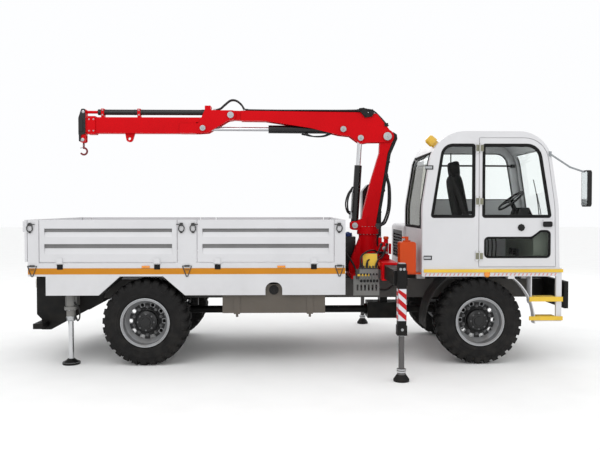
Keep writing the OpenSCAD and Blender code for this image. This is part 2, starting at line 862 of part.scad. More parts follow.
module dashboard() {
    color("darkgray") {
        side_plate([
            [dash_x0 + 40, cab_in], [cab_x1 - 105, cab_in], [cab_x1 - 105, sill_z], [dash_x0, sill_z],
            [dash_x0 - 20, sill_z - 90], [dash_x0 + 40, sill_z - 170]
        ], cab_y0 + cab_wall + 70, cab_y1 - cab_wall - 5);
        rod_between([dash_x0 + 60, seat_y, cab_in + 480], wheel_c, 60);
        translate(wheel_c)
            rotate([0, -38, 0]) {
                rotate_extrude($fn = 64)
                    translate([190, 0])
                        circle(d = 28, $fn = 24);
                for (a = [0, 120, 240])
                    rotate([0, 0, a])
                        translate([0, -12, -6])
                            cube([190, 24, 12]);
                translate([0, 0, -20])
                    cylinder(d = 90, h = 36);
            }
    }
}

arch_r = 680;
arch_t = 12;

// a strip of wheel arch from angle a0 to a1, measured from straight ahead
module arch_strip(a0, a1, y0, y1) {
    n = 14;
    outer = arch_r + arch_t;
    ring = [for (i = [0 : n]) let (a = a0 + (a1 - a0) * i / n) [cos(a), sin(a)]];
    pts = concat(
        [for (p = ring) [fa_x + arch_r * p[0], axle_z + arch_r * p[1]]],
        [for (i = [n : -1 : 0]) [fa_x + outer * ring[i][0], axle_z + outer * ring[i][1]]]
    );
    side_plate(pts, y0, y1);
}

arch_a = asin((base_z - axle_z) / (arch_r + arch_t));
step_x0 = fa_x + 645;
post_x = cab_x1 - 40;
step_z = [axle_z + 18, axle_z + 254];
step_h = [50, 58];
step_in = cab_y0 + 150;

module step_frame() {
    color("white") {
        arch_strip(-2, arch_a - 1, cab_y0, cab_y0 + 110);
        difference() {
            union() {
                box(step_x0 - 12, step_x0, cab_y0, step_in, step_z[0], base_z);
                box(step_x0 - 12, post_x + 68, cab_y0, step_in, step_z[0] - 12, step_z[0]);
            }
            ycyl(fa_x, cab_y0 - eps, step_in + eps, axle_z, 2 * arch_r);
        }
        box(fa_x + arch_r * cos(arch_a) - 40, fa_x + arch_r * cos(arch_a) + 40, cab_y0, cab_y0 + 110,
            base_z - 30, base_z);
        box(post_x, post_x + 68, cab_y0, cab_y0 + 40, step_z[0] - 12, base_z);
    }
}

module step_treads() {
    color("gold") {
        for (i = [0, 1]) {
            difference() {
                box(step_x0, post_x, cab_y0, step_in, step_z[i], step_z[i] + step_h[i]);
                ycyl(fa_x, cab_y0 - eps, step_in + eps, axle_z, 2 * (arch_r + arch_t));
            }
            box(step_x0 - 33, post_x + 80, cab_y0 - 15, cab_y0, step_z[i], step_z[i] + step_h[i]);
        }
        box(cab_x0 + 20, cab_x1 + 40, cab_y0 - 15, cab_y0, base_z + 51, base_z + 90);
    }
}

guard_in = wheel_y - tyre_w / 2 - 10;

module mudguards() {
    rear_top = fa_x - arch_r * cos(arch_a);
    color("black") {
        arch_strip(180 - arch_a + 1, 186, cab_y0 + eps, -guard_in);
        box(rear_top - 40, rear_top + 30, cab_y0, -guard_in, base_z - 30, base_z);
        both()
            side_plate(concat(arch_line(0), [for (i = [3 : -1 : 0]) arch_line(arch_t)[i]]),
                guard_y + fit, rail_face - skirt_t);
        arch_strip(0, arch_a - 1, guard_in, half_w - 45);
        arch_strip(180 - arch_a + 1, 186, guard_in, half_w - 45);
        for (x = [rear_top, fa_x + arch_r * cos(arch_a)])
            box(x - 35, x + 35, guard_in, half_w - 45, base_z - 30, base_z);
    }
}

hood_y1 = half_w - 45;
hood_z1 = cab_z + 531;
hood_side = [
    [cab_x0 - 20, base_z, 0], [cab_x1 + 28, base_z, 0], [cab_x1 + 28, hood_z1 - 90, 60],
    [cab_x1 - 500, hood_z1, 500], [cab_x0 - 20, hood_z1 - 20, 60]
];
hood_t = 24;

module hood() {
    color("white") {
        difference() {
            side_plate(rounded(hood_side), cab_y1, hood_y1);
            side_plate(rounded(inset(hood_side, hood_t)), cab_y1 + hood_t, hood_y1 - hood_t);
            box(cab_x0 - 20 + hood_t, cab_x1 + 28 - hood_t, cab_y1 + hood_t, hood_y1 - hood_t,
                base_z - 10, base_z + 60);
            box(cab_x0 - 60, cab_x0 + 60, cab_y1 + 110, hood_y1 - 110, base_z + 120, hood_z1 - 110);
            box(cab_x1 - 60, cab_x1 + 60, cab_y1 + 110, hood_y1 - 110, base_z + 120, hood_z1 - 190);
        }
        for (x = [cab_x0 + 30, cab_x1 - 90])
            box(x, x + 60, rail_out - rail_w, rail_out, frame_top, base_z + 24);
        for (x = [cab_x0 + 30, cab_x1 - 90])
            box(x, x + 60, cab_y1 + 2, hood_y1 - 2, base_z, base_z + 24);
        zcyl(cab_x0 + 330, cab_y1 + 420, hood_z1 - 30, hood_z1 + 150, 110);
        zcyl(cab_x0 + 330, cab_y1 + 420, hood_z1 + 130, hood_z1 + 290, 210);
    }
}

module grille(x0, x1, z1) {
    pitch = 44;
    n = floor((z1 - base_z - 140) / pitch);
    difference() {
        box(x0, x1, cab_y1 + 110, hood_y1 - 110, base_z + 120, z1);
        for (i = [0 : n - 1])
            box(x0 - 5, x1 + 5, cab_y1 + 130, hood_y1 - 130,
                base_z + 136 + i * pitch, base_z + 160 + i * pitch);
    }
}

module hood_grilles() {
    color("black") {
        grille(cab_x0 - 16, cab_x0 + 2, hood_z1 - 110);
        grille(cab_x1 + 6, cab_x1 + 24, hood_z1 - 190);
    }
}

bumper_x = cab_x1 + 78;

module front_bumper() {
    color("black") {
        box(bumper_x, bumper_x + 50, -half_w + 60, half_w - 60, frame_z - 54, frame_top + 36);
        both() {
            side_plate([
                [frame_x1, frame_z], [bumper_x + eps, frame_z - 54], [bumper_x + eps, frame_top],
                [frame_x1, frame_top]
            ], rail_out - rail_w, rail_out);
        }
    }
}

module lamps() {
    color("lightyellow") {
        both() {
            xcyl(bumper_x + 50, bumper_x + 75, half_w - 230, frame_z + 130, 190);
            box(bumper_x + 50, bumper_x + 65, half_w - 420, half_w - 345, frame_z + 60, frame_z + 200);
            box(frame_x0 - 165, frame_x0 - 140, guard_y - 320, guard_y - 40, frame_z + 190, frame_z + 300);
        }
    }
}

module beacon() {
    at = [cab_x0 + 195, cab_y0 + 180, roof_z - 152];
    color("orange") {
        difference() {
            translate(at)
                rotate([0, -48, 0]) {
                    translate([0, 0, -60])
                        cylinder(d = 100, h = 90);
                    translate([0, 0, 28])
                        cylinder(d1 = 130, d2 = 122, h = 84);
                    translate([0, 0, 111])
                        cylinder(d1 = 122, d2 = 84, h = 22);
                }
            side_plate(rounded(cab_side, 12), cab_y0 - 10, cab_y1);
        }
    }
}

mirror_y = cab_y0 - 60;
mirror_z1 = roof_z - 492;
mirror_z0 = mirror_z1 - 445;
function mirror_head(y) = [
    [y, mirror_z0, 40], [y + 180, mirror_z0, 40], [y + 180, mirror_z1, 40], [y, mirror_z1, 40]
];

module mirrors() {
    head = [x_nose - 25, mirror_y - 80, mirror_z1 - 30];
    bend = [x_nose - 190, cab_y0 - 40, mirror_z1 + 45];
    top = [cab_x1 - 140, cab_y0 - 12, roof_z - 280];
    mast = [cab_x1 - 250, hood_y1 + 12, base_z + 400];
    color("dimgray") {
        end_plate(rounded(mirror_head(mirror_y - 170)), x_nose - 50, x_nose);
        rod_between(top, bend, 22);
        rod_between(bend, head, 22);
        translate(bend)
            sphere(d = 26);
        box(top[0] - 8, top[0] + 20, cab_y0 - 20, cab_y0, top[2] - 30, top[2] + 30);
        end_plate(rounded(mirror_head(hood_y1 + 30)), x_nose - 50, x_nose);
        box(mast[0] - 40, mast[0] + 40, hood_y1, hood_y1 + 20, mast[2] - 40, mast[2] + 40);
        rod_between(mast, [x_nose - 25, hood_y1 + 90, mirror_z0 + 60], 22);
    }
}

// Crane
housing_w = beam_w + 50;
housing_h = beam_h + 50;

module crane_base() {
    toe = [
        [slew_x - 110, slew_z - 70], [slew_x - 264, frame_top + 160], [slew_x - 264, frame_top + 40],
        [slew_x + 30, frame_top + 40], [slew_x + 30, slew_z - 70]
    ];
    brace = [
        [slew_x + 30, slew_z - 120], [slew_x + 30, frame_top + 40], [beam_x + housing_w / 2, frame_top + 40],
        [beam_x + housing_w / 2, frame_top + 300]
    ];
    color("red") {
        difference() {
            union() {
                box(slew_x - 270, beam_x + housing_w / 2 + 20, -rail_out - 20, rail_out + 20,
                    frame_top, frame_top + 51);
                zcyl(slew_x, 0, frame_top + 50, slew_z - fit, foot_d);
                zcyl(slew_x, 0, slew_z - 40, slew_z - fit, foot_d + 50);
                side_plate(toe, -70, 70);
                side_plate(brace, -60, 60);
                box(beam_x - housing_w / 2, beam_x + housing_w / 2, -housing_y, housing_y,
                    beam_z0 - 25, beam_z0 - 25 + housing_h);
            }
            box(beam_x - beam_w / 2 - fit, beam_x + beam_w / 2 + fit, -housing_y - 10, housing_y + 10,
                beam_z0 - fit, beam_z0 + beam_h + fit);
        }
    }
}

ctl_x0 = slew_x - 291;
ctl_x1 = slew_x + 40;
ctl_y = -905;

module crane_controls() {
    color("dimgray") {
        box(slew_x - 210, slew_x - 40, ctl_y, -rail_out - 20, frame_top + 2, frame_top + 50);
        box(slew_x - 220, slew_x + 20, ctl_y - 60, ctl_y + 80, frame_top + 40, frame_top + 180);
        difference() {
            box(ctl_x0, ctl_x1, ctl_y - 12, ctl_y, skirt_z - 40, frame_top + 90);
            for (i = [0 : 5])
                box(ctl_x0 + 40 + i * 48, ctl_x0 + 64 + i * 48, ctl_y - 30, ctl_y + 30,
                    skirt_z + 20, frame_top - 20);
        }
        for (i = [0 : 5]) {
            rod_between([slew_x - 200 + i * 40, ctl_y - 50, frame_top + 120],
                [slew_x - 205 + i * 40, ctl_y - 140, frame_top + 40], 12);
            translate([slew_x - 205 + i * 40, ctl_y - 140, frame_top + 40])
                sphere(d = 28, $fn = 24);
        }
        translate([slew_x - 170, ctl_y - 20, frame_top + 175])
            rotate([-20, 0, 0])
                cube([190, 12, 210]);
    }
}

oil_x0 = slew_x - 350;
oil_y0 = 190;
tank_foot = beam_z0 - 25 + housing_h + fit;

module oil_tank() {
    color("dimgray") {
        box(oil_x0, oil_x0 + 200, oil_y0, oil_y0 + 400, frame_top + 51, slew_z - 90);
        zcyl(oil_x0 + 100, oil_y0 + 110, slew_z - 91, slew_z - 40, 110);
        side_plate(rounded([
            [slew_x - 25, tank_foot, 20], [slew_x + 255, tank_foot, 20], [slew_x + 255, slew_z + 675, 40],
            [slew_x + 60, slew_z + 675, 60], [slew_x - 25, slew_z + 570, 60]
        ]), oil_y0 + 260, oil_y0 + 520);
        zcyl(slew_x + 160, oil_y0 + 390, slew_z + 670, slew_z + 720, 120);
    }
}

bottle_x = cab_x0 - 167;
bottle_y = cab_y0 + 150;

module extinguisher() {
    color("orangered") {
        box(bottle_x - 85, cab_x0, bottle_y - 80, bottle_y + 80, base_z + 22, base_z + 42);
        side_plate(rounded([
            [bottle_x - 100, base_z + 41, 12], [bottle_x + 100, base_z + 41, 12],
            [bottle_x + 100, base_z + 428, 30], [bottle_x - 100, base_z + 428, 30]
        ]), bottle_y - 95, bottle_y + 95);
        zcyl(bottle_x, bottle_y, base_z + 427, base_z + 444, 96);
        zcyl(bottle_x, bottle_y, base_z + 440, base_z + 484, 44);
        box(bottle_x - 60, bottle_x + 20, bottle_y - 12, bottle_y + 12, base_z + 470, base_z + 492);
    }
}

head_y = 60;
lug_y = 52;
boom_pin_d = 70;
lift_pin_d = 50;
fold_pin_d = 48;
hook_pin_d = 28;

module crane_column() {
    post = [
        [slew_x - 109, slew_z], [slew_x + 126, slew_z], [slew_x + 110, slew_z + 126],
        [slew_x + 162, slew_z + 435], [slew_x + 268, slew_z + 1082], [luff_x + 100, luff_z],
        [luff_x, luff_z + 60], [luff_x - 95, luff_z], [slew_x + 156, slew_z + 1096],
        [slew_x + 21, slew_z + 646], [slew_x - 74, slew_z + 265]
    ];
    lug = rounded([
        [slew_x - 20, slew_z + 4, 0], [slew_x - 20, slew_z + 200, 0], [lift_p[0] + 20, lift_p[1] + 60, 40],
        [lift_p[0] - 60, lift_p[1] + 60, 40], [lift_p[0] - 60, lift_p[1] - 60, 40]
    ]);
    color("red") {
        difference() {
            union() {
                side_plate(post, -head_y, head_y);
                ycyl(luff_x, -head_y, head_y, luff_z, 200);
                zcyl(slew_x, 0, slew_z, slew_z + 60, foot_d + 50);
            }
            ycyl(luff_x, -200, 200, luff_z, boom_pin_d + 2 * fit);
            box(lift_p[0] - 200, slew_x - 108, -lug_y, lug_y, slew_z - 10, slew_z + 200);
        }
        both()
            side_plate(lug, lug_y, lug_y + 30);
        ycyl(lift_p[0], -lug_y - 40, lug_y + 40, lift_p[1], lift_pin_d);
    }
}

cheek_in = 65;
cheek_w = 20;

module inner_boom() {
    cheek = [
        [knuckle_x + 145, knuckle_z - 75], [knuckle_x + 145, knuckle_z + 62], [slew_x - 130, slew_z + 1650],
        [slew_x + 117, slew_z + 1630], [luff_x + 92, luff_z + 20], [luff_x + 70, luff_z - 70],
        [luff_x - 60, luff_z - 80], [lift_q[0] + 110, lift_q[1] - 60], [lift_q[0], lift_q[1] - 80],
        [lift_q[0] - 75, lift_q[1] - 30], [fold_p[0] + 90, fold_p[1] - 95], [fold_p[0] - 60, fold_p[1] - 80],
        [fold_p[0] - 450, fold_p[1] + 15], [fold_p[0] - 1080, fold_p[1] + 112]
    ];
    beam = [
        [knuckle_x + 150, knuckle_z - 72], [knuckle_x + 150, knuckle_z + 62], [slew_x - 130, slew_z + 1650],
        [slew_x + 117, slew_z + 1630], [slew_x + 190, slew_z + 1540], [slew_x + 40, slew_z + 1535],
        [fold_p[0] - 420, fold_p[1] + 110]
    ];
    color("red") {
        difference() {
            union() {
                both()
                    side_plate(cheek, cheek_in, cheek_in + cheek_w);
                side_plate(beam, -cheek_in - 1, cheek_in + 1);
                ycyl(knuckle_x, -head_y, head_y, knuckle_z, 140);
                side_plate([
                    [knuckle_x, knuckle_z - 60], [knuckle_x + 160, knuckle_z - 68],
                    [knuckle_x + 160, knuckle_z + 62], [knuckle_x, knuckle_z + 66]
                ], -head_y, head_y);
                ycyl(luff_x, -cheek_in - cheek_w - 25, cheek_in + cheek_w + 25, luff_z, boom_pin_d);
                ycyl(fold_p[0], -cheek_in - cheek_w - 15, cheek_in + cheek_w + 15, fold_p[1], fold_pin_d);
                both()
                    ycyl(lift_q[0], cheek_in - 5, cheek_in + cheek_w + 18, lift_q[1], 80);
            }
            ycyl(knuckle_x, -200, 200, knuckle_z, boom_pin_d + 2 * fit);
        }
    }
}

out_y = outer_w / 2;
lug_x0 = knuckle_x - 356;
lug_x1 = knuckle_x - 275;
lug_top = knuckle_z + 129;

module outer_boom() {
    cheek = [
        [box_x1 - 220, box_z0 + 130, 0], [box_x1 - 220, box_z0, 0], [fold_q[0] - 60, fold_q[1] - 69, 60],
        [fold_q[0] + 75, fold_q[1] - 60, 50], [knuckle_x - 30, knuckle_z - 72, 60],
        [knuckle_x + 70, knuckle_z - 60, 50], [knuckle_x + 70, knuckle_z + 66, 50],
        [knuckle_x - 111, knuckle_z + 66, 20], [lug_x1, knuckle_z + 69, 0], [lug_x1, lug_top, 6],
        [lug_x0, lug_top, 6], [lug_x0, knuckle_z + 69, 0], [lug_x0 - 84, box_z0 + 136, 40]
    ];
    color("red") {
        difference() {
            union() {
                box(box_x0, box_x1, -out_y, out_y, box_z0, box_z1);
                box(box_x0, box_x0 + 107, -out_y - 14, out_y + 14, box_z0 - 14, box_z1 + 14);
                both()
                    side_plate(rounded(cheek), out_y - 1, out_y - 1 + cheek_t);
                box(lug_x0, lug_x1, -out_y, out_y, knuckle_z - 5, lug_top);
                box(box_x1 - 1, lug_x0 + 1, -out_y, out_y, box_z0 + 150, box_z1);
                side_plate(rounded([
                    [box_x0 + 505, box_z0 + 5, 0], [box_x0 + 525, box_z0 - 118, 45],
                    [box_x0 + 600, box_z0 - 118, 45], [box_x0 + 640, box_z0 + 5, 0]
                ]), -20, 20);
                for (x = [box_x1 - 770, box_x0 + 220])
                    box(x - 40, x, -44, 44, box_z1 - eps, ram_z + 46);
                xcyl(box_x0 + 130, lug_x0 + eps, 0, ram_z, 76);
                both()
                    ycyl(fold_q[0], out_y + 8, out_y + cheek_t + 14, fold_q[1], 80);
            }
            box(box_x0 - 10, box_x1 + 300, -out_y + boom_wall, out_y - boom_wall,
                box_z0 + boom_wall, box_z1 - boom_wall);
            xcyl(box_x0 - 10, box_x1 - 60, 0, ram_z, 52);
            ycyl(box_x0 + 563, -60, 60, box_z0 - 72, 40);
        }
        ycyl(knuckle_x, -out_y - cheek_t - 12, out_y + cheek_t + 12, knuckle_z, boom_pin_d);
    }
}

ext_in = box_x1 - 60;
tip_x = box_x0 - 125;
hook_x = tip_x + 52;
hook_z = box_z0 - 92;

module boom_extension() {
    y = out_y - boom_wall - fit;
    z0 = box_z0 + boom_wall + fit;
    z1 = box_z1 - boom_wall - fit;
    color("red") {
        difference() {
            box(box_x0 - 30, ext_in, -y, y, z0, z1);
            box(box_x0 + 40, ext_in + 10, -y + 10, y - 10, z0 + 10, z1 - 10);
        }
        difference() {
            union() {
                side_plate(rounded([
                    [tip_x, box_z0 - 40, 20], [box_x0 - 29, box_z0 - 10, 0], [box_x0 - 29, ram_z + 40, 20],
                    [tip_x + 40, ram_z + 40, 20], [tip_x, box_z1, 20]
                ]), -58, 58);
                both()
                    side_plate(rounded([
                        [tip_x + 12, box_z0 - 130, 30], [tip_x + 92, box_z0 - 130, 30],
                        [tip_x + 92, box_z0 - 20, 0], [tip_x + 12, box_z0 - 30, 0]
                    ]), 26, 50);
            }
            ycyl(hook_x, -100, 100, hook_z, hook_pin_d + 2 * fit);
        }
        xcyl(box_x0 - 30, box_x1 - 120, 0, ram_z, 40);
    }
}

module hook() {
    color("darkred") {
        ycyl(hook_x, -54, 54, hook_z, hook_pin_d);
        ycyl(hook_x, -18, 18, hook_z, 56);
        zcyl(hook_x, 0, hook_z - 110, hook_z - 10, 26);
        translate([hook_x, 0, hook_z - 155])
            rotate([90, 0, 0])
                rotate([0, 0, -150])
                    rotate_extrude(angle = 240, $fn = 48)
                        translate([46, 0])
                            circle(d = 26, $fn = 24);
        translate([hook_x, 0, hook_z - 109])
            sphere(d = 30, $fn = 24);
    }
}

lift_barrel_l = 843;
fold_barrel_l = 1040;

module barrel(d, rod_d, l, pin) {
    difference() {
        union() {
            ycyl(0, -45, 45, 0, 100);
            cylinder(d = d, h = l);
        }
        ycyl(0, -60, 60, 0, pin + 2 * fit);
        translate([0, 0, 90])
            cylinder(d = rod_d + 2 * fit, h = l);
        for (s = [-1, 1])
            box(-d, d, s > 0 ? 45 : -d, s > 0 ? d : -45, -d, 62);
    }
}

// the rod's eye is an open ring with room about its pin
module rod(d, l, inside) {
    difference() {
        union() {
            translate([0, 0, inside])
                cylinder(d = d, h = l - inside - 30);
            ycyl(0, -40, 40, l, 96);
        }
        ycyl(0, -60, 60, l, 50);
    }
}

module lift_barrel() {
    color("black")
        along(lift_p, lift_q)
            barrel(lift_d, lift_rod_d, lift_barrel_l, lift_pin_d);
}

module lift_rod() {
    color("silver")
        along(lift_p, lift_q)
            rod(lift_rod_d, lift_l, 260);
}

module fold_barrel() {
    color("black")
        along(fold_p, fold_q)
            barrel(fold_d, fold_rod_d, fold_barrel_l, fold_pin_d);
}

module fold_rod() {
    color("silver")
        along(fold_p, fold_q)
            rod(fold_rod_d, fold_l, 420);
}

// Outriggers, drawn out and set down
leg_z0 = 524;
leg_z1 = beam_z0 + 253;
foot_z = 141;
beam_in = 800;

module outrigger_beam() {
    difference() {
        union() {
            box(beam_x - beam_w / 2, beam_x + beam_w / 2, beam_in, leg_y - leg_w / 2 + eps,
                beam_z0, beam_z0 + beam_h);
            box(beam_x - leg_w / 2, beam_x + leg_w / 2, leg_y - leg_w / 2, leg_y + leg_w / 2,
                leg_z0, leg_z1);
            box(beam_x - leg_w / 2 - 8, beam_x + leg_w / 2 + 8, leg_y - leg_w / 2 - 8, leg_y + leg_w / 2 + 8,
                leg_z0, leg_z0 + 110);
        }
        zcyl(beam_x, leg_y, leg_z0 - 10, leg_z1 - 30, leg_rod_d + 2 * fit);
    }
}

module outrigger_leg() {
    zcyl(beam_x, leg_y, foot_z - 20, foot_z + 760, leg_rod_d);
    zcyl(beam_x, leg_y, foot_z - 42, foot_z, 100);
    translate([beam_x, leg_y, 24])
        cylinder(d1 = foot_pad_d - 10, d2 = 80, h = foot_z - 64);
    zcyl(beam_x, leg_y, 0, 25, foot_pad_d);
}

module outrigger_beam_left() {
    color("dimgray")
        outrigger_beam();
}

module outrigger_beam_right() {
    color("dimgray")
        mirror([0, 1, 0])
            outrigger_beam();
}

module outrigger_leg_left() {
    color("gray")
        outrigger_leg();
}

module outrigger_leg_right() {
    color("gray")
        mirror([0, 1, 0])
            outrigger_leg();
}

frame();
front_axle();
rear_axle();
driveline();
engine();
tanks();
bed();
rear_guard();
rear_jack_bodies();
cab_base();
cab_shell();
cab_glass();
seat();
dashboard();
step_frame();
step_treads();
mudguards();
hood();
hood_grilles();
front_bumper();
lamps();
beacon();
mirrors();
crane_base();
crane_controls();
oil_tank();
extinguisher();
door();
door_glass();
knuckle_left();
knuckle_right();
tyre_front_left();
tyre_front_right();
tyre_rear_left();
tyre_rear_right();
rim_front_left();
rim_front_right();
rim_rear_left();
rim_rear_right();
dropside_rear_left();
dropside_rear_right();
dropside_front_left();
dropside_front_right();
tailgate();
crane_column();
inner_boom();
outer_boom();
boom_extension();
hook();
lift_barrel();
lift_rod();
fold_barrel();
fold_rod();
outrigger_beam_left();
outrigger_beam_right();
outrigger_leg_left();
outrigger_leg_right();
jack_left();
jack_right();
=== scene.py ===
import json
import math

import bmesh
import bpy
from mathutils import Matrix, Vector


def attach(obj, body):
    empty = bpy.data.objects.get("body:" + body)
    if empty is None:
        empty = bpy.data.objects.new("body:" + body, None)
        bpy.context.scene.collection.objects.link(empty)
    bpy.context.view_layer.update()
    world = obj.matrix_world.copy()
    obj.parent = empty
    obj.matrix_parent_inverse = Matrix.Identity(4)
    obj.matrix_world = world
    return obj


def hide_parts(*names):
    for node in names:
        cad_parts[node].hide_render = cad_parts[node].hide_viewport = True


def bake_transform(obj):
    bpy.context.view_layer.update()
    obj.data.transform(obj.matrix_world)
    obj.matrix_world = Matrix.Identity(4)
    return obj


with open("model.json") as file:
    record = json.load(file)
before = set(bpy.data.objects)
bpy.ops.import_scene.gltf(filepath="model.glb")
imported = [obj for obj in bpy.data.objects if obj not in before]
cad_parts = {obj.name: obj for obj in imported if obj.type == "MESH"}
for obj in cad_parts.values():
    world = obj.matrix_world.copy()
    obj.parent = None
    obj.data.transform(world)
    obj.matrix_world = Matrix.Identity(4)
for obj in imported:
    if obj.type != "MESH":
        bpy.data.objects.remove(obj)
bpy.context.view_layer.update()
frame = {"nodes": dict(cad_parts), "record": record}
scene = bpy.context.scene

MM = 0.001
SIDES = (("left", 1), ("right", -1))
ALONG, NEAR, UP, DOWN = (1, 0, 0), (0, -1, 0), (0, 0, 1), (0, 0, -1)

# Main stations of the machine, in millimetres in the row frame
BED_X0, BED_X1 = -3450, 493
CAB_X0, CAB_X1 = 1450, 3172
CAB_Y0, CAB_Y1 = -1150, 100
CAB_Z, ROOF_Z, SILL_Z, BASE_Z = 1209, 2909, 1858, 1104
DOOR_X0, DOOR_X1 = 2159, 3117
RA_X, FA_X, AXLE_Z, WHEEL_Y = -1985, 2180, 536, 957.5
RAIL_Z, HALF_W, RAIL_FACE = 1116, 1175, 1165
SLEW_X, SLEW_Z = 909, 1635
LUFF = (1170, 2951)
KNUCKLE = (-1006.6, 3242)
LIFT_P, LIFT_Q = (721, 1712), (798, 2929)
FOLD_P, FOLD_Q = (556, 3051), (-1390.6, 3061)
BOX_X0, BOX_X1, BOX_Z0, BOX_Z1, RAM_Z = -2979.6, -1489.6, 2992, 3211, 3287
TIP_X, HOOK_X, HOOK_Z = -3104.6, -3052.6, 2900
BEAM_X, LEG_Y, LEG_FACE = 1060, 1930, 1977.5
JACK_X, JACK_Y, JACK_Z0 = -2935, 1000, 560
TYRE_R, TYRE_W, RIM_R, BEAD_R = 536, 385, 305, 286
FOOT_Z, JACK_PAD, HUB_R = 141, 107, 135


# Materials
def linear(rgb):
    out = []
    for v in rgb:
        v = v / 255
        out.append(v / 12.92 if v <= 0.04045 else ((v + 0.055) / 1.055) ** 2.4)
    return (*out, 1.0)


def shade(col, by):
    """A linear colour, darker or lighter."""
    return (*(min(1, c * by) for c in col[:3]), 1)


def put(n, **inputs):
    """Set constants on a node's own sockets."""
    for key, value in inputs.items():
        n.inputs[key.replace("_", " ")].default_value = value
    return n


def base_material(name):
    m = bpy.data.materials.new(name)
    m.use_nodes = True
    t = m.node_tree
    shader = next(n for n in t.nodes if n.type == "BSDF_PRINCIPLED")
    coords = t.nodes.new("ShaderNodeTexCoord")
    return m, t, shader, coords.outputs["Object"]


def mix(tree, kind, fac, a, b):
    n = tree.nodes.new("ShaderNodeMix")
    n.data_type = "RGBA"
    n.blend_type = kind
    for socket, value in ((n.inputs[0], fac), (n.inputs[6], a), (n.inputs[7], b)):
        if hasattr(value, "is_linked"):
            tree.links.new(value, socket)
        else:
            socket.default_value = value
    return n.outputs[2]


def spread(tree, value, lo, hi, a, b):
    """A value's range from lo to hi mapped to a range from a to b."""
    n = tree.nodes.new("ShaderNodeMapRange")
    tree.links.new(value, n.inputs[0])
    for i, v in enumerate((lo, hi, a, b)):
        n.inputs[i + 1].default_value = v
    return n.outputs[0]


def noise(tree, coords, scale, detail):
    n = put(tree.nodes.new("ShaderNodeTexNoise"), Scale=scale, Detail=detail)
    tree.links.new(coords, n.inputs["Vector"])
    return n.outputs["Fac"]


def wave(tree, coords, **inputs):
    n = put(tree.nodes.new("ShaderNodeTexWave"), **inputs)
    tree.links.new(coords, n.inputs["Vector"])
    return n


def on_axis(tree, coords, axis):
    """The coordinate on one axis (0 is X)."""
    sep = tree.nodes.new("ShaderNodeSeparateXYZ")
    tree.links.new(coords, sep.inputs[0])
    return sep.outputs[axis]


def halves(tree, coords, axis, at, low, high):
    """One colour below a station on an axis and another above it."""
    return mix(tree, "MIX", spread(tree, on_axis(tree, coords, axis), at - 0.001, at, 0, 1), low, high)


def emboss(tree, shader, height, strength, distance=0.002):
    b = put(tree.nodes.new("ShaderNodeBump"), Strength=strength, Distance=distance)
    tree.links.new(height, b.inputs["Height"])
    tree.links.new(b.outputs[0], shader.inputs["Normal"])


def paint(name, rgb, rough=0.4, metal=0.0, coat=0.0, vary=0.10, grain=120, bump=0.04, dirt=0.0, dirt_top=1.3,
          dirt_rgb=(96, 84, 68), spec=0.5, low=None, high=None):
    """low and high are (axis, station, colour), for what lies below or above that station."""
    m, t, s, co = base_material(name)
    col = linear(rgb)
    out = mix(t, "MIX", spread(t, noise(t, co, 2.2, 6), 0.3, 0.7, 0, 1),
              shade(col, 1 - vary), shade(col, 1 + vary * 0.5))
    if dirt:
        patch = t.nodes.new("ShaderNodeMath")
        patch.operation = "MULTIPLY"
        t.links.new(spread(t, on_axis(t, co, 2), dirt_top, dirt_top - 0.9, 0, dirt), patch.inputs[0])
        t.links.new(spread(t, noise(t, co, 9, 8), 0.42, 0.68, 0, 1), patch.inputs[1])
        out = mix(t, "MIX", patch.outputs[0], out, linear(dirt_rgb))
    if low:
        out = halves(t, co, low[0], low[1], linear(low[2]), out)
    if high:
        out = halves(t, co, high[0], high[1], out, linear(high[2]))
    t.links.new(out, s.inputs["Base Color"])
    t.links.new(spread(t, noise(t, co, 14, 6), 0.3, 0.7, max(0.02, rough - 0.07), min(1, rough + 0.1)),
                s.inputs["Roughness"])
    put(s, Metallic=metal, Specular_IOR_Level=spec, Coat_Weight=coat, Coat_Roughness=0.12)
    emboss(t, s, noise(t, co, grain, 3), bump)
    return m


def glass(name, rgb, rear):
    """rear is (X, colour): the tint of the glass behind that station."""
    m, t, s, co = base_material(name)
    put(s, Base_Color=linear(rgb), Transmission_Weight=1.0, IOR=1.15)
    t.links.new(halves(t, co, 0, rear[0], linear(rear[1]), linear(rgb)), s.inputs["Base Color"])
    t.links.new(spread(t, noise(t, co, 6, 5), 0.35, 0.7, 0, 0.015), s.inputs["Roughness"])
    return m


def lens(name, rgb, ribs=220):
    m, t, s, co = base_material(name)
    rib = wave(t, co, Scale=ribs / 6).outputs["Fac"]
    col = linear(rgb)
    t.links.new(mix(t, "MIX", rib, shade(col, 0.72), col), s.inputs["Base Color"])
    put(s, Roughness=0.12, Coat_Weight=0.8)
    emboss(t, s, rib, 0.25)
    return m


def cloth(name, rgb):
    m, t, s, co = base_material(name)
    heights = []
    for axis in "XYZ":
        w = wave(t, co, Scale=260.0, Distortion=0.4)
        w.bands_direction = axis
        heights.append(w.outputs["Fac"])
    weave = mix(t, "LIGHTEN", 1.0, heights[0], heights[1])
    weave = mix(t, "MULTIPLY", 0.6, weave, heights[2])
    col = linear(rgb)
    t.links.new(mix(t, "MIX", weave, shade(col, 0.55), col), s.inputs["Base Color"])
    put(s, Roughness=0.9, Sheen_Weight=0.04, Specular_IOR_Level=0.2)
    emboss(t, s, weave, 0.3, 0.001)
    return m


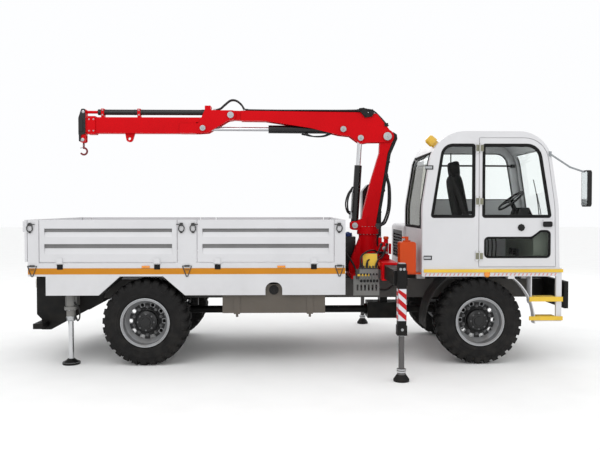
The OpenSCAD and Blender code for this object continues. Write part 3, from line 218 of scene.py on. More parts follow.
WHITE = paint("paint_white", (205, 205, 207), 0.36, coat=0.1, vary=0.04, dirt=0.16, dirt_top=1.2)
RED = paint("paint_red", (200, 1, 13), 0.45, vary=0.08, bump=0.05, spec=0.09)
BLACK = paint("paint_black", (15, 15, 15), 0.5, vary=0.25, dirt=0.08, dirt_top=1.2, spec=0.2)
GLOSS_BLACK = paint("paint_gloss_black", (14, 14, 15), 0.3, coat=0.15, vary=0.2, spec=0.35)
PLASTIC = paint("plastic_black", (22, 22, 22), 0.62, vary=0.2, grain=420, bump=0.12, dirt=0.1, dirt_top=1.2,
                spec=0.3)
RUBBER = paint("rubber_seal", (12, 12, 12), 0.75, vary=0.2, grain=300, bump=0.1, spec=0.25)
TYRE = paint("tyre_rubber", (18, 17, 17), 0.8, vary=0.3, grain=180, bump=0.2, dirt=0.18, dirt_top=1.1,
             dirt_rgb=(70, 66, 60), spec=0.3)
FRAME = paint("paint_frame", (70, 68, 66), 0.55, vary=0.2, dirt=0.25, dirt_top=1.1)
TANK = paint("paint_tank", (92, 86, 79), 0.5, vary=0.12, dirt=0.3, dirt_top=1.1, spec=0.3)
RIM = paint("paint_rim", (148, 149, 151), 0.42, metal=0.35, vary=0.14, dirt=0.35, dirt_top=1.1)
STEEL = paint("steel_plated", (176, 178, 180), 0.32, metal=0.9, vary=0.15)
CHROME = paint("chrome_rod", (205, 206, 208), 0.14, metal=1.0, vary=0.05, bump=0.01)
GREY = paint("paint_grey", (118, 118, 116), 0.5, vary=0.12, dirt=0.3)
LEG = paint("steel_leg", (96, 94, 94), 0.36, metal=0.6, vary=0.15)
DASH = paint("plastic_dash", (112, 118, 108), 0.7, vary=0.08, grain=500, bump=0.15, spec=0.3,
             high=(2, 1.866, (18, 18, 19)))
STRIPE = paint("paint_stripe", (193, 126, 22), 0.4, vary=0.08, spec=0.25)
YELLOW = paint("paint_yellow", (222, 184, 62), 0.45, vary=0.10, dirt=0.3, dirt_top=1.1, spec=0.3)
ORANGE = paint("paint_orange", (196, 66, 10), 0.35, coat=0.1, vary=0.08, spec=0.2)
BLUE = paint("plastic_blue", (38, 70, 132), 0.45, vary=0.1)
HOSE = paint("hose_rubber", (20, 20, 21), 0.6, vary=0.2, grain=600, bump=0.2)
DARK_RED = paint("paint_hook", (112, 14, 20), 0.45, vary=0.15)
TAPE_RED = paint("tape_red", (178, 6, 16), 0.4, coat=0.1, spec=0.2, vary=0.06, grain=900, bump=0.08)
TAPE_WHITE = paint("tape_white", (204, 205, 210), 0.4, coat=0.1, vary=0.04, grain=900, bump=0.08)
# The disc's near-black is partly its own dark finish and partly painted shade of the wheel's deep inset
DISC = paint("wheel_disc", (26, 26, 27), 0.4, metal=0.4, vary=0.2)
NUT = paint("wheel_nut", (104, 104, 105), 0.4, metal=0.7, vary=0.2)
HINGE = paint("hinge_metal", (134, 133, 114), 0.5, metal=0.4, vary=0.2)
TAPE_MARK = paint("tape_mark", (206, 140, 128), 0.3, coat=0.4, vary=0.06, grain=900, bump=0.08)
# Painted shade: this grey, laid as strips in the dropsides' grooves, stands in for the shadow there
GROOVE_SHADE = paint("groove_shade_paint", (112, 112, 112), 0.6, vary=0.15)
IRON = paint("cast_iron", (62, 62, 62), 0.7, vary=0.2, grain=260, bump=0.2)
GLASS = glass("window_glass", (250, 253, 252), (1.56, (158, 158, 146)))
MIRROR = paint("mirror_plastic", (22, 22, 22), 0.6, vary=0.2, grain=420, bump=0.12, spec=0.3,
               low=(0, 3.412, (140, 144, 147)))
AMBER = lens("lens_amber", (240, 146, 18))
BEACON = lens("lens_beacon", (226, 178, 22))
CLEAR = lens("lens_clear", (232, 230, 222), 300)
LENS_RED = lens("lens_red", (176, 14, 16))
SILVER = paint("mirror_silver", (228, 230, 232), 0.04, metal=1.0, vary=0.01, bump=0.0)
FABRIC = cloth("seat_cloth", (17, 17, 18))


# Shapes, collected in millimetres into one mesh each
def add(name, data):
    o = bpy.data.objects.new(name, data)
    scene.collection.objects.link(o)
    return o


def basis(d):
    d = Vector(d).normalized()
    up = Vector(UP) if abs(d.z) < 0.9 else Vector(ALONG)
    u = d.cross(up).normalized()
    return u, d.cross(u).normalized(), d


def turns(n, start=0):
    """Cosine and sine at n equal steps round a circle, from a start in degrees."""
    angles = [math.radians(start) + 2 * math.pi * k / n for k in range(n)]
    return [(math.cos(a), math.sin(a)) for a in angles]


def circle(c, u, v, r, n):
    return [c + r * (cos * u + sin * v) for cos, sin in turns(n)]


def quad(x0, x1, y0, y1, z):
    return [(x0, y0, z), (x1, y0, z), (x1, y1, z), (x0, y1, z)]


def band(sgn, a, b):
    """Two distances from a middle plane, on one side of it, in rising order."""
    return sorted((sgn * a, sgn * b))


def curve(points, steps):
    """A smooth line through the points."""
    p = [Vector(q) for q in points]
    p = [p[0] * 2 - p[1]] + p + [p[-1] * 2 - p[-2]]
    out = []
    for i in range(1, len(p) - 2):
        a, b, c, d = p[i - 1:i + 3]
        for k in range(steps):
            t = k / steps
            out.append(0.5 * (2 * b + (c - a) * t + (2 * a - 5 * b + 4 * c - d) * t * t
                              + (3 * b - a - 3 * c + d) * t ** 3))
    out.append(p[-2])
    return out


class Shape:
    def __init__(self):
        self.bm = bmesh.new()

    def ring(self, points):
        return [self.bm.verts.new(Vector(p) * MM) for p in points]

    def skin(self, rings, loop=False):
        """Faces from ring to ring, capped at both ends or closed in a loop."""
        rows = [self.ring(r) for r in rings]
        n = len(rows[0])
        pairs = list(zip(rows, rows[1:])) + ([(rows[-1], rows[0])] if loop else [])
        for a, b in pairs:
            for i in range(n):
                j = (i + 1) % n
                self.bm.faces.new((a[i], a[j], b[j], b[i]))
        if not loop:
            self.bm.faces.new(rows[0][::-1])
            self.bm.faces.new(rows[-1])

    def box(self, x0, x1, y0, y1, z0, z1):
        self.skin([quad(x0, x1, y0, y1, z) for z in (z0, z1)])

    def cyl(self, p, q, r, n=24):
        p, q = Vector(p), Vector(q)
        u, v, _ = basis(q - p)
        self.skin([circle(c, u, v, r, n) for c in (p, q)])

    def tube(self, points, r, n=10, smooth=8):
        """A round line through the points, with corners if smooth is 0."""
        pts = curve(points, smooth) if smooth else [Vector(p) for p in points]
        u = basis(pts[1] - pts[0])[0]
        rings = []
        for i, p in enumerate(pts):
            d = (pts[min(i + 1, len(pts) - 1)] - pts[max(i - 1, 0)]).normalized()
            u = (u - d * u.dot(d)).normalized()
            rings.append(circle(p, u, d.cross(u), r, n))
        self.skin(rings)

    def lathe(self, origin, axis, profile, n=64, loop=False):
        """profile is [(radius, distance along the axis)]"""
        u, v, d = basis(axis)
        self.skin([circle(Vector(origin) + d * h, u, v, r, n) for r, h in profile], loop)

    def torus(self, origin, axis, big, small, n=48, m=12):
        self.lathe(origin, axis, [(big + small * cos, small * sin) for cos, sin in turns(m)], n, loop=True)

    def nut(self, p, axis, r, h):
        """A hexagon with a washer under it and a stud end on top."""
        a = Vector(axis).normalized() * h
        p = Vector(p)
        self.cyl(p, p + a * 0.18, r * 1.35, 16)
        self.cyl(p + a * 0.18, p + a * 0.85, r, 6)
        self.cyl(p + a * 0.85, p + a * 1.1, r * 0.55, 12)

    def nut_pair(self, x, y, z, r, h):
        """A nut on each side of the middle plane."""
        for sgn in (-1, 1):
            self.nut((x, sgn * y, z), (0, sgn, 0), r, h)

    def plate(self, pts, y0, y1):
        """An outline in XZ between two Y planes."""
        self.skin([[(x, y, z) for x, z in pts] for y in (y0, y1)])

    def ball(self, c, r, n=16, m=10):
        arc = [math.pi * k / m for k in range(m + 1)]
        self.lathe(c, UP, [(max(r * math.sin(a), 0.05), -r * math.cos(a)) for a in arc], n)

    def done(self, name, material, body, slot, bevel=0.0, angle=35, subdivide=0):
        bmesh.ops.recalc_face_normals(self.bm, faces=self.bm.faces)
        me = bpy.data.meshes.new(name)
        self.bm.to_mesh(me)
        self.bm.free()
        for p in me.polygons:
            p.use_smooth = True
        me.set_sharp_from_angle(angle=math.radians(angle))
        me.materials.append(material)
        o = add(name, me)
        if bevel:
            b = o.modifiers.new("edges", "BEVEL")
            b.width = bevel * MM
            b.segments = 2
            b.limit_method = "ANGLE"
            b.angle_limit = math.radians(30)
        if subdivide:
            o.modifiers.new("smooth", "SUBSURF").levels = subdivide
            o.modifiers["smooth"].render_levels = subdivide
        if body:
            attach(o, body)
        return o


def rounded(pts, n=8):
    """[(x, z, radius)] to points with round corners."""
    out = []
    k = len(pts)
    for i, (x, z, r) in enumerate(pts):
        b = Vector((x, z))
        a = Vector(pts[i - 1][:2])
        c = Vector(pts[(i + 1) % k][:2])
        if r == 0:
            out.append((x, z))
            continue
        u, v = (a - b).normalized(), (c - b).normalized()
        half = math.acos(max(-1, min(1, u.dot(v)))) / 2
        t = r / math.tan(half)
        m = b + (u + v).normalized() * (r / math.sin(half))
        p, q = b + u * t - m, b + v * t - m
        a0 = math.atan2(p.y, p.x)
        turn = (math.atan2(q.y, q.x) - a0 + 3 * math.pi) % (2 * math.pi) - math.pi
        for j in range(n + 1):
            out.append((m.x + r * math.cos(a0 + turn * j / n), m.y + r * math.sin(a0 + turn * j / n)))
    return out


def rect(x0, x1, z0, z1, r, n):
    return rounded([(x0, z0, r), (x1, z0, r), (x1, z1, r), (x0, z1, r)], n)


def inset(pts, d):
    """An outline for rounded(), moved inwards by d."""
    out = []
    k = len(pts)
    for i, (x, z, r) in enumerate(pts):
        b = Vector((x, z))
        e1 = (b - Vector(pts[i - 1][:2])).normalized()
        e2 = (Vector(pts[(i + 1) % k][:2]) - b).normalized()
        n1, n2 = Vector((-e1.y, e1.x)), Vector((-e2.y, e2.x))
        p = b + (n1 + n2) * (d / (1 + n1.dot(n2)))
        out.append((p.x, p.y, max(r - d, 0.5)))
    return out


# Camera, at the photograph's angle
cam_data = bpy.data.cameras.new("camera")
cam = add("camera", cam_data)
cam.location = (-0.254, -9.55, 1.956)
cam.rotation_euler = (math.radians(90 - 1.43), 0, math.radians(-1.26))
cam_data.sensor_width = 36
cam_data.lens = 40.8
cam_data.clip_end = 200
scene.camera = cam
bpy.context.scene.view_settings.view_transform = "Standard"

# Floor and soft light
floor_mesh = bpy.data.meshes.new("floor")
floor_mesh.from_pydata([(-60, -40, 0), (60, -40, 0), (60, 60, 0), (-60, 60, 0)], [], [(0, 1, 2, 3)])
floor = add("floor", floor_mesh)
floor_mesh.materials.append(paint("floor_pale", (249, 249, 248), 0.85, vary=0.02, bump=0.0))
floor.location.z = -0.001
world = bpy.data.worlds.new("studio")
world.use_nodes = True
sky = next(n for n in world.node_tree.nodes if n.type == "BACKGROUND")
sky.inputs[0].default_value = (0.985, 0.99, 1.0, 1)
sky.inputs[1].default_value = 1.0
scene.world = world
for name, place, target, size, power in (
        ("key", (-4, -9, 9), (0, 0, 1.4), 7, 260), ("fill", (7, -8, 5), (1, 0, 1.4), 6, 90),
        ("back", (2, 9, 8), (0, 0, 1.5), 8, 200)):
    data = bpy.data.lights.new(name, "AREA")
    data.size = size
    data.energy = power
    lamp = add(name, data)
    lamp.location = place
    lamp.rotation_euler = (Vector(target) - Vector(place)).to_track_quat("-Z", "Y").to_euler()

# The CAD pieces' finishes
FINISH = {
    "frame_grey": FRAME, "axle_black": BLACK, "engine_grey": IRON, "tank_grey": TANK, "body_white": WHITE,
    "guard_black": BLACK, "jack_grey": GREY, "window_glass": GLASS, "seat_black": FABRIC, "dash_grey": DASH,
    "step_yellow": YELLOW, "mudguard_black": PLASTIC, "grille_dark": BLACK, "lamp_lens": CLEAR,
    "beacon_amber": BEACON, "mirror_black": MIRROR, "crane_red": RED, "control_grey": GREY,
    "oil_tank_dark": GLOSS_BLACK, "bottle_orange": ORANGE, "tyre_rubber": TYRE, "rim_grey": RIM,
    "barrel_black": GLOSS_BLACK, "rod_chrome": CHROME, "hook_red": DARK_RED, "outrigger_black": BLACK,
    "leg_grey": LEG,
}
slots = {s["node"]: s["material_slot"] for s in frame["record"]["subparts"]}
for name, o in frame["nodes"].items():
    o.data.materials.clear()
    o.data.materials.append(FINISH[slots[name]])

# Tyres with an open block tread, and what is bolted to the wheels
TREAD_BLOCKS = 28


def tyre(name, x, y, body):
    s = Shape()
    h = TYRE_W / 2
    # radius, and depth in from the side, from the bead to the floor of the tread
    side = [(BEAD_R, 40), (BEAD_R + 8, 26), (RIM_R + 14, 14), (RIM_R + 30, 6), (RIM_R + 42, 5),
            (RIM_R + 46, 1), (RIM_R + 60, 1), (RIM_R + 64, 4), (RIM_R + 90, 0), (RIM_R + 120, 0),
            (RIM_R + 124, -0.5), (RIM_R + 132, -0.5), (RIM_R + 136, 3), (TYRE_R - 84, 6), (TYRE_R - 56, 14),
            (TYRE_R - 36, 30), (TYRE_R - 24, 62), (TYRE_R - 22, 110)]
    prof = [(r, -h + d) for r, d in side] + [(r, h - d) for r, d in reversed(side)]
    s.lathe((x, y, AXLE_Z), (0, 1, 0), prof, 96, loop=True)

    def section(c, across, top, low, w, flare):
        """One section of a block, w to each side of the arc length c and wider at its root."""
        out = []
        for arc, drop in ((c - w, top), (c + w, top), (c + w + flare, low), (c - w - flare, low)):
            a, r = arc / TYRE_R, TYRE_R - drop
            out.append((x + r * math.cos(a), y + across, AXLE_Z + r * math.sin(a)))
        return out

    for k in range(TREAD_BLOCKS):
        for sgn in (-1, 1):
            a = (k + sgn * 0.25) * 2 * math.pi / TREAD_BLOCKS * TYRE_R
            # shoulder block, running down the side wall
            s.skin([section(a + d * 0.16, sgn * (h - d), top, low, w, 5) for d, top, low, w in
                    ((4, 60, 96, 34), (14, 22, 70, 36), (34, 6, 50, 37), (62, 0, 40, 36), (112, 0, 40, 30))])
            # centre block
            s.skin([section(a + 30 + (72 - d) * 0.34, sgn * d, 0, 40, w, 4)
                    for d, w in ((72, 34), (40, 38), (8, 32))])
    o = s.done(name + "_tread", TYRE, body, "tyre_rubber", bevel=3, angle=40)
    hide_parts(name)


def wheel_trim(name, x, sgn, body):
    y, out = sgn * WHEEL_Y, (0, sgn, 0)
    hub = Shape()
    hub.lathe((x, y, AXLE_Z), out, [
        (HUB_R + 12, 15.5), (HUB_R + 12, 24), (HUB_R + 2, 28), (HUB_R + 2, 111), (HUB_R - 28, 131.5),
        (HUB_R - 44, 132), (HUB_R - 50, 140), (62, 142), (58, 152), (10, 153)], 48)
    hub.done(name + "_hub", GLOSS_BLACK, body, "axle_black", bevel=2)
    flat, hand_r0, hand_r1 = HUB_R + 15, 182, 226

    def spot(r, a, lift):
        """A point over the disc's face, which is dished outside the radius flat."""
        face = 15.6 + max(0, r - flat) / (hand_r1 - flat) * 10
        return (x + r * math.cos(a), y + sgn * (face + lift), AXLE_Z + r * math.sin(a))
    disc = Shape()
    around = [2 * math.pi * k / 80 for k in range(80)]
    disc.skin([[spot(r, a, h) for a in around] for r, h in
               ((HUB_R + 6, 0.2), (HUB_R + 6, 2), (hand_r0 - 1, 2), (hand_r0, 0.2))], loop=True)
    # the webs between the hand holes
    for k in range(10):
        arc = [math.radians(36 * k + 9 + 18 * m / 5) for m in range(6)]
        disc.skin([[spot(hand_r0, a, h) for a in arc] + [spot(hand_r1, a, h) for a in reversed(arc)]
                   for h in (0.2, 1.8)])
    disc.done(name + "_disc", DISC, body, "rim_grey", bevel=0.5)
    nuts = Shape()
    for k in range(10):
        nuts.nut(spot(176, math.radians(18 + 36 * k), 1.5), out, 16, 26)
    for cos, sin in turns(8):
        nuts.nut((x + 100 * cos, y + sgn * 131, AXLE_Z + 100 * sin), out, 9, 12)
    nuts.done(name + "_nuts", NUT, body, "rim_grey", bevel=1)
    lip = Shape()
    lip.torus((x, y + sgn * 184, AXLE_Z), (0, 1, 0), 300, 6, 96)
    lip.torus((x, y + sgn * 60, AXLE_Z), (0, 1, 0), 272, 4, 96, 8)
    valve = ((250, 30, 90), (236, 70, 88), (230, 96, 86))
    lip.tube([(x + dx, y + sgn * dy, AXLE_Z + dz) for dx, dy, dz in valve], 5, 8, 4)
    lip.done(name + "_lip", STEEL, body, "rim_grey")


for end, x in (("front", FA_X), ("rear", RA_X)):
    for side, sgn in SIDES:
        tyre(f"tyre_{end}_{side}", x, sgn * WHEEL_Y, f"wheel_{end}_{side}")
        wheel_trim(f"wheel_{end}_{side}", x, sgn, f"wheel_{end}_{side}")

# Cab: window seals, door furniture, wiper, inside bars
CAB_SIDE = [(CAB_X0, CAB_Z, 0), (CAB_X1, CAB_Z, 0), (CAB_X1 - 16, CAB_Z + 760, 1200),
            (CAB_X1 - 160, ROOF_Z, 420), (CAB_X0 + 148, ROOF_Z, 450), (CAB_X0, CAB_Z + 770, 900)]
TOP_W = SILL_Z + 871
WIN_REAR = [(CAB_X0 + 130, SILL_Z, 12), (DOOR_X0 - 76, SILL_Z, 12), (DOOR_X0 - 76, TOP_W, 12),
            (CAB_X0 + 268, TOP_W, 130)]
WIN_DOOR = [(DOOR_X0 + 62, SILL_Z, 12), (CAB_X1 - 132, SILL_Z, 12), (CAB_X1 - 278, TOP_W, 170),
            (DOOR_X0 + 62, TOP_W, 12)]
WIN_LOW = [(DOOR_X0 + 80, CAB_Z + 140, 40), (CAB_X1 - 132, CAB_Z + 140, 40), (CAB_X1 - 132, CAB_Z + 456, 40),
           (CAB_X1 - 240, CAB_Z + 456, 40), (CAB_X1 - 350, CAB_Z + 372, 60), (DOOR_X0 + 80, CAB_Z + 372, 40)]
WIN_FAR = [(CAB_X0 + 200, SILL_Z + 210, 12), (CAB_X1 - 175, SILL_Z + 210, 12), (CAB_X1 - 285, TOP_W, 170),
           (CAB_X0 + 268, TOP_W, 130)]


def seal(name, outline, y, out, body, width=26, lip=14):
    """A rubber section round a side window, its bead standing proud of the panel."""
    s = Shape()
    rows = []
    for d, proud in ((-width, 0.5), (-width + 5, 5), (lip - 4, 5), (lip, -12)):
        edge = rounded([(x, z, max(r, 1)) for x, z, r in inset(outline, d)])
        rows.append([(x, y + out * proud, z) for x, z in edge])
    s.skin(rows, loop=True)
    s.done(name, RUBBER, body, "mirror_black", angle=50)


seal("seal_rear_window", WIN_REAR, CAB_Y0, -1, "chassis")
seal("seal_door_window", WIN_DOOR, CAB_Y0, -1, "door")
seal("seal_door_low", WIN_LOW, CAB_Y0, -1, "door", width=18, lip=10)
seal("seal_far_window", WIN_FAR, CAB_Y1, 1, "chassis")


def side_edge(z):
    """The cab side outline's rear and front X at a height."""
    pts = rounded(CAB_SIDE, 12)
    xs = []
    for (x0, z0), (x1, z1) in zip(pts, pts[1:] + pts[:1]):
        if (z0 - z) * (z1 - z) < 0:
            xs.append(x0 + (x1 - x0) * (z - z0) / (z1 - z0))
    return min(xs), max(xs)


def end_seal(name, lo, hi, y0, y1, front):
    """The same round the windscreen or the back window, following the cab's curve."""
    steps = 14
    path = [(y0, lo + (hi - lo) * i / steps) for i in range(steps + 1)]
    path += [(y1, hi - (hi - lo) * i / steps) for i in range(steps + 1)]
    rows = []
    for wide, proud in ((22, 1), (17, 7), (-8, 7), (-12, -14)):
        row = []
        for y, z in path:
            if z in (lo, hi):
                z += wide if z == hi else -wide
            rear, fore = side_edge(z)
            row.append((fore + proud if front else rear - proud, y + (-wide if y == y0 else wide), z))
        rows.append(row)
    s = Shape()
    s.skin(rows, loop=True)
    s.done(name, RUBBER, "chassis", "mirror_black", angle=50)


end_seal("seal_windscreen", CAB_Z + 400, ROOF_Z - 210, CAB_Y0 + 95, CAB_Y1 - 95, True)
end_seal("seal_back_window", CAB_Z + 510, ROOF_Z - 270, CAB_Y0 + 115, CAB_Y1 - 115, False)

door = Shape()
hx, hz = DOOR_X1 - 110, SILL_Z - 103
door.skin([[(x, CAB_Y0 - out, z) for x, z in rect(hx - w, hx + w, hz - h, hz + h, r, 5)]
           for out, w, h, r in ((29, 62, 36, 22), (40, 54, 28, 18))])
door.box(hx - 44, hx + 30, CAB_Y0 - 54, CAB_Y0 - 38, hz - 12, hz + 12)
door.lathe((DOOR_X0 + 527, CAB_Y0 - 1, SILL_Z - 145), NEAR,
           [(46, 0), (46, 8), (36, 18), (20, 20), (18, 26), (4, 26)], 8)
door.done("door_handle", PLASTIC, "door", "mirror_black", bevel=3)

HINGES_Z = (CAB_Z + 150, CAB_Z + 830, ROOF_Z - 210)
PIN_X, PIN_Y, PIN_R = DOOR_X0 - 8, CAB_Y0 - 10, 9.6
hinges, fixed = Shape(), Shape()
for z in HINGES_Z:
    hinges.box(DOOR_X0 + 5, DOOR_X0 + 44, CAB_Y0 - 20.5, CAB_Y0 - 18.2, z - 38, z + 38)
    fixed.box(DOOR_X0 - 44, DOOR_X0 - 20, CAB_Y0 - 12.6, CAB_Y0 - 10.2, z - 58, z + 58)
    for row in (-1, 0, 1):
        hinges.nut((DOOR_X0 + 28, CAB_Y0 - 20.4, z + 24 * row), NEAR, 5, 6)
        fixed.nut((DOOR_X0 - 32, CAB_Y0 - 12.4, z + 44 * row), NEAR, 5, 6)
    for leaf, lo, hi in ((hinges, -39.5, 39.5), (fixed, -60.5, -41), (fixed, 41, 60.5)):
        leaf.cyl((PIN_X, PIN_Y, z + lo), (PIN_X, PIN_Y, z + hi), PIN_R, 20)
hinges.done("door_hinge_leaves", HINGE, "door", "rim_grey", bevel=1)
fixed.done("cab_hinge_leaves", HINGE, "chassis", "rim_grey", bevel=1)

clips, plates = Shape(), Shape()
for x, z in ((1520, 2458), (1508, 1338)):
    plates.box(x - 40, x + 62, CAB_Y0 - 6, CAB_Y0 - 0.5, z - 26, z + 26)
    clips.box(x - 46, x + 46, CAB_Y0 - 14, CAB_Y0 - 5, z - 14, z + 14)
    clips.box(x - 40, x - 8, CAB_Y0 - 26, CAB_Y0 - 13, z - 9, z + 9)
    clips.nut((x + 26, CAB_Y0 - 14, z), NEAR, 7, 8)
plates.done("cab_latch_plates", PLASTIC, "chassis", "mirror_black", bevel=2)
clips.done("cab_latches", STEEL, "chassis", "rim_grey", bevel=2)

inside = Shape()
BAR_Y, BAR_Z, POST_X = CAB_Y1 - 62, 2550, CAB_X0 + 640
inside.tube([(CAB_X0 + 90, BAR_Y, BAR_Z), (CAB_X0 + 600, BAR_Y, BAR_Z + 2), (CAB_X0 + 1100, BAR_Y, BAR_Z + 2),
             (CAB_X1 - 170, BAR_Y, BAR_Z)], 13, 10, 3)
inside.tube([(POST_X, BAR_Y, z) for z in (2062, 2400, 2728)], 9, 8, 2)
for x0, x1 in ((CAB_X0 + 92, CAB_X0 + 150), (CAB_X1 - 230, CAB_X1 - 165)):
    inside.box(x0, x1, CAB_Y1 - 80, CAB_Y1 - 46, BAR_Z - 22, BAR_Z + 22)
inside.done("cab_inner_bar", PLASTIC, "chassis", "mirror_black", bevel=2)


def screen(y, z, out):
    """A point in front of the windscreen."""
    return (side_edge(z)[1] + out, y, z)


wiper = Shape()
wiper.lathe(screen(-525, 1720, -2), ALONG, [(24, 0), (24, 16), (16, 24), (6, 25)], 20)
wiper.tube([screen(-525, 1720, 20), screen(-480, 1900, 26), screen(-430, 2150, 20)], 6, 8)
wiper.tube([screen(-470, 1830, 11), screen(-442, 2080, 11), screen(-404, 2340, 11)], 7, 6)
wiper.done("wiper", PLASTIC, "chassis", "mirror_black", bevel=1)

# Interior: instrument hood, levers, pedals
cockpit = Shape()
cockpit.skin([quad(2800, 3000, -690, -360, 1862), quad(2850, 2960, -660, -390, 1962)])
for y in (-640, -525, -410):
    cockpit.lathe((2822, y, 1912), (-0.89, 0, 0.45), [(34, 0), (34, 6), (28, 8), (4, 8)], 24)
for x, y in ((2560, -180), (2620, -160), (2680, -140)):
    cockpit.tube([(x, y, 1256), (x + 6, y, 1480), (x - 30, y, 1640)], 9, 8)
    cockpit.ball((x - 32, y, 1660), 24)
for y in (-640, -520, -400):
    cockpit.box(2790, 2830, y - 30, y + 30, 1330, 1420)
cockpit.done("cockpit_controls", PLASTIC, "chassis", "mirror_black", bevel=4)


# Seat: crowned cushions on a sprung base
def cushion(name, centre, size, tilt, crown):
    """A box of foam that swells between its seams; size is length, width and thickness."""
    s = Shape()
    n, m = 16, 14
    length, width, t = size
    ca, sa = math.cos(tilt), math.sin(tilt)

    def place(x, y, z):
        return (centre[0] + x * ca - z * sa, centre[1] + y, centre[2] + x * sa + z * ca)
    top, low = [], []
    for i in range(n + 1):
        u = -1 + 2 * i / n
        upper, lower = [], []
        for j in range(m + 1):
            v = -1 + 2 * j / m
            pull = 1 - 0.05 * (1 - abs(u) ** 6) * abs(v) ** 6 - 0.05 * (1 - abs(v) ** 6) * abs(u) ** 6
            edge = max(0.0, (1 - abs(u) ** 5) * (1 - abs(v) ** 5)) ** 0.45
            groove = 1 - 0.35 * math.exp(-((abs(v) - 0.5) / 0.05) ** 2)
            if abs(v) < 0.5:
                groove *= 1 - 0.25 * math.exp(-((abs(u) - 0.36) / 0.04) ** 2)
            x, y = u * length / 2 * pull, v * width / 2 * pull
            half = t / 2 * (0.45 + 0.55 * edge)
            upper.append(place(x, y, half + crown * edge * groove * (1 - 0.4 * u * u)))
            lower.append(place(x, y, -half))
        top.append(upper)
        low.append(lower)
    rows_t = [s.ring(r) for r in top]
    rows_l = [s.ring(r) for r in low]
    for i in range(n):
        for j in range(m):
            s.bm.faces.new((rows_t[i][j], rows_t[i + 1][j], rows_t[i + 1][j + 1], rows_t[i][j + 1]))
            s.bm.faces.new((rows_l[i][j], rows_l[i][j + 1], rows_l[i + 1][j + 1], rows_l[i + 1][j]))
    rim = [(i, 0) for i in range(n)] + [(n, j) for j in range(m)] + [(i, m) for i in range(n, 0, -1)]
    rim += [(0, j) for j in range(m, 0, -1)]
    for (a, b), (c, d) in zip(rim, rim[1:] + rim[:1]):
        s.bm.faces.new((rows_t[a][b], rows_l[a][b], rows_l[c][d], rows_t[c][d]))
    o = s.done(name, FABRIC, "chassis", "seat_black", angle=80, subdivide=1)
    return o


SEAT_X, SEAT_Y, CAB_IN = CAB_X0 + 640, (CAB_Y0 + CAB_Y1) / 2, CAB_Z + 110
seat = cushion("seat_cushion", (SEAT_X + 245, SEAT_Y, CAB_IN + 392), (505, 490, 110), math.radians(3), 16)
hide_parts("seat")
cushion("seat_back", (SEAT_X - 40, SEAT_Y, CAB_IN + 746), (680, 470, 140), math.radians(101), 16)
cushion("seat_headrest", (SEAT_X - 94, SEAT_Y, CAB_IN + 1154), (205, 250, 116), math.radians(96), 12)
base = Shape()
base.skin([quad(SEAT_X, SEAT_X + 300, SEAT_Y - 180, SEAT_Y + 180, CAB_IN - 65),
           quad(SEAT_X + 20, SEAT_X + 280, SEAT_Y - 160, SEAT_Y + 160, CAB_IN + 70)])
# bellows, every other fold narrower
for k in range(6):
    z, dx, dy = CAB_IN + 72 + 38 * k, 6 * (k % 2), 8 * (k % 2)
    base.box(SEAT_X + 20 + dx, SEAT_X + 280 - dx, SEAT_Y - 165 + dy, SEAT_Y + 165 - dy, z, z + 36)
base.box(SEAT_X + 5, SEAT_X + 440, SEAT_Y - 200, SEAT_Y + 200, CAB_IN + 300, CAB_IN + 338)
for y in (-70, 70):
    base.cyl((SEAT_X - 100, SEAT_Y + y, CAB_IN + 985), (SEAT_X - 108, SEAT_Y + y, CAB_IN + 1095), 7, 10)
# the near arm rest is folded up behind the back, the far one is down
for y, mid, end in ((-264, (-122, 860), (-214, 1066)), (264, (130, 575), (300, 570))):
    base.tube([(SEAT_X + x, SEAT_Y + y, CAB_IN + z) for x, z in ((-20, 560), mid, end)], 22, 12)
    base.cyl((SEAT_X - 20, SEAT_Y + y, CAB_IN + 564), (SEAT_X - 20, SEAT_Y + y * 0.84, CAB_IN + 564), 25, 16)
base.done("seat_base", PLASTIC, "chassis", "seat_black", bevel=6)

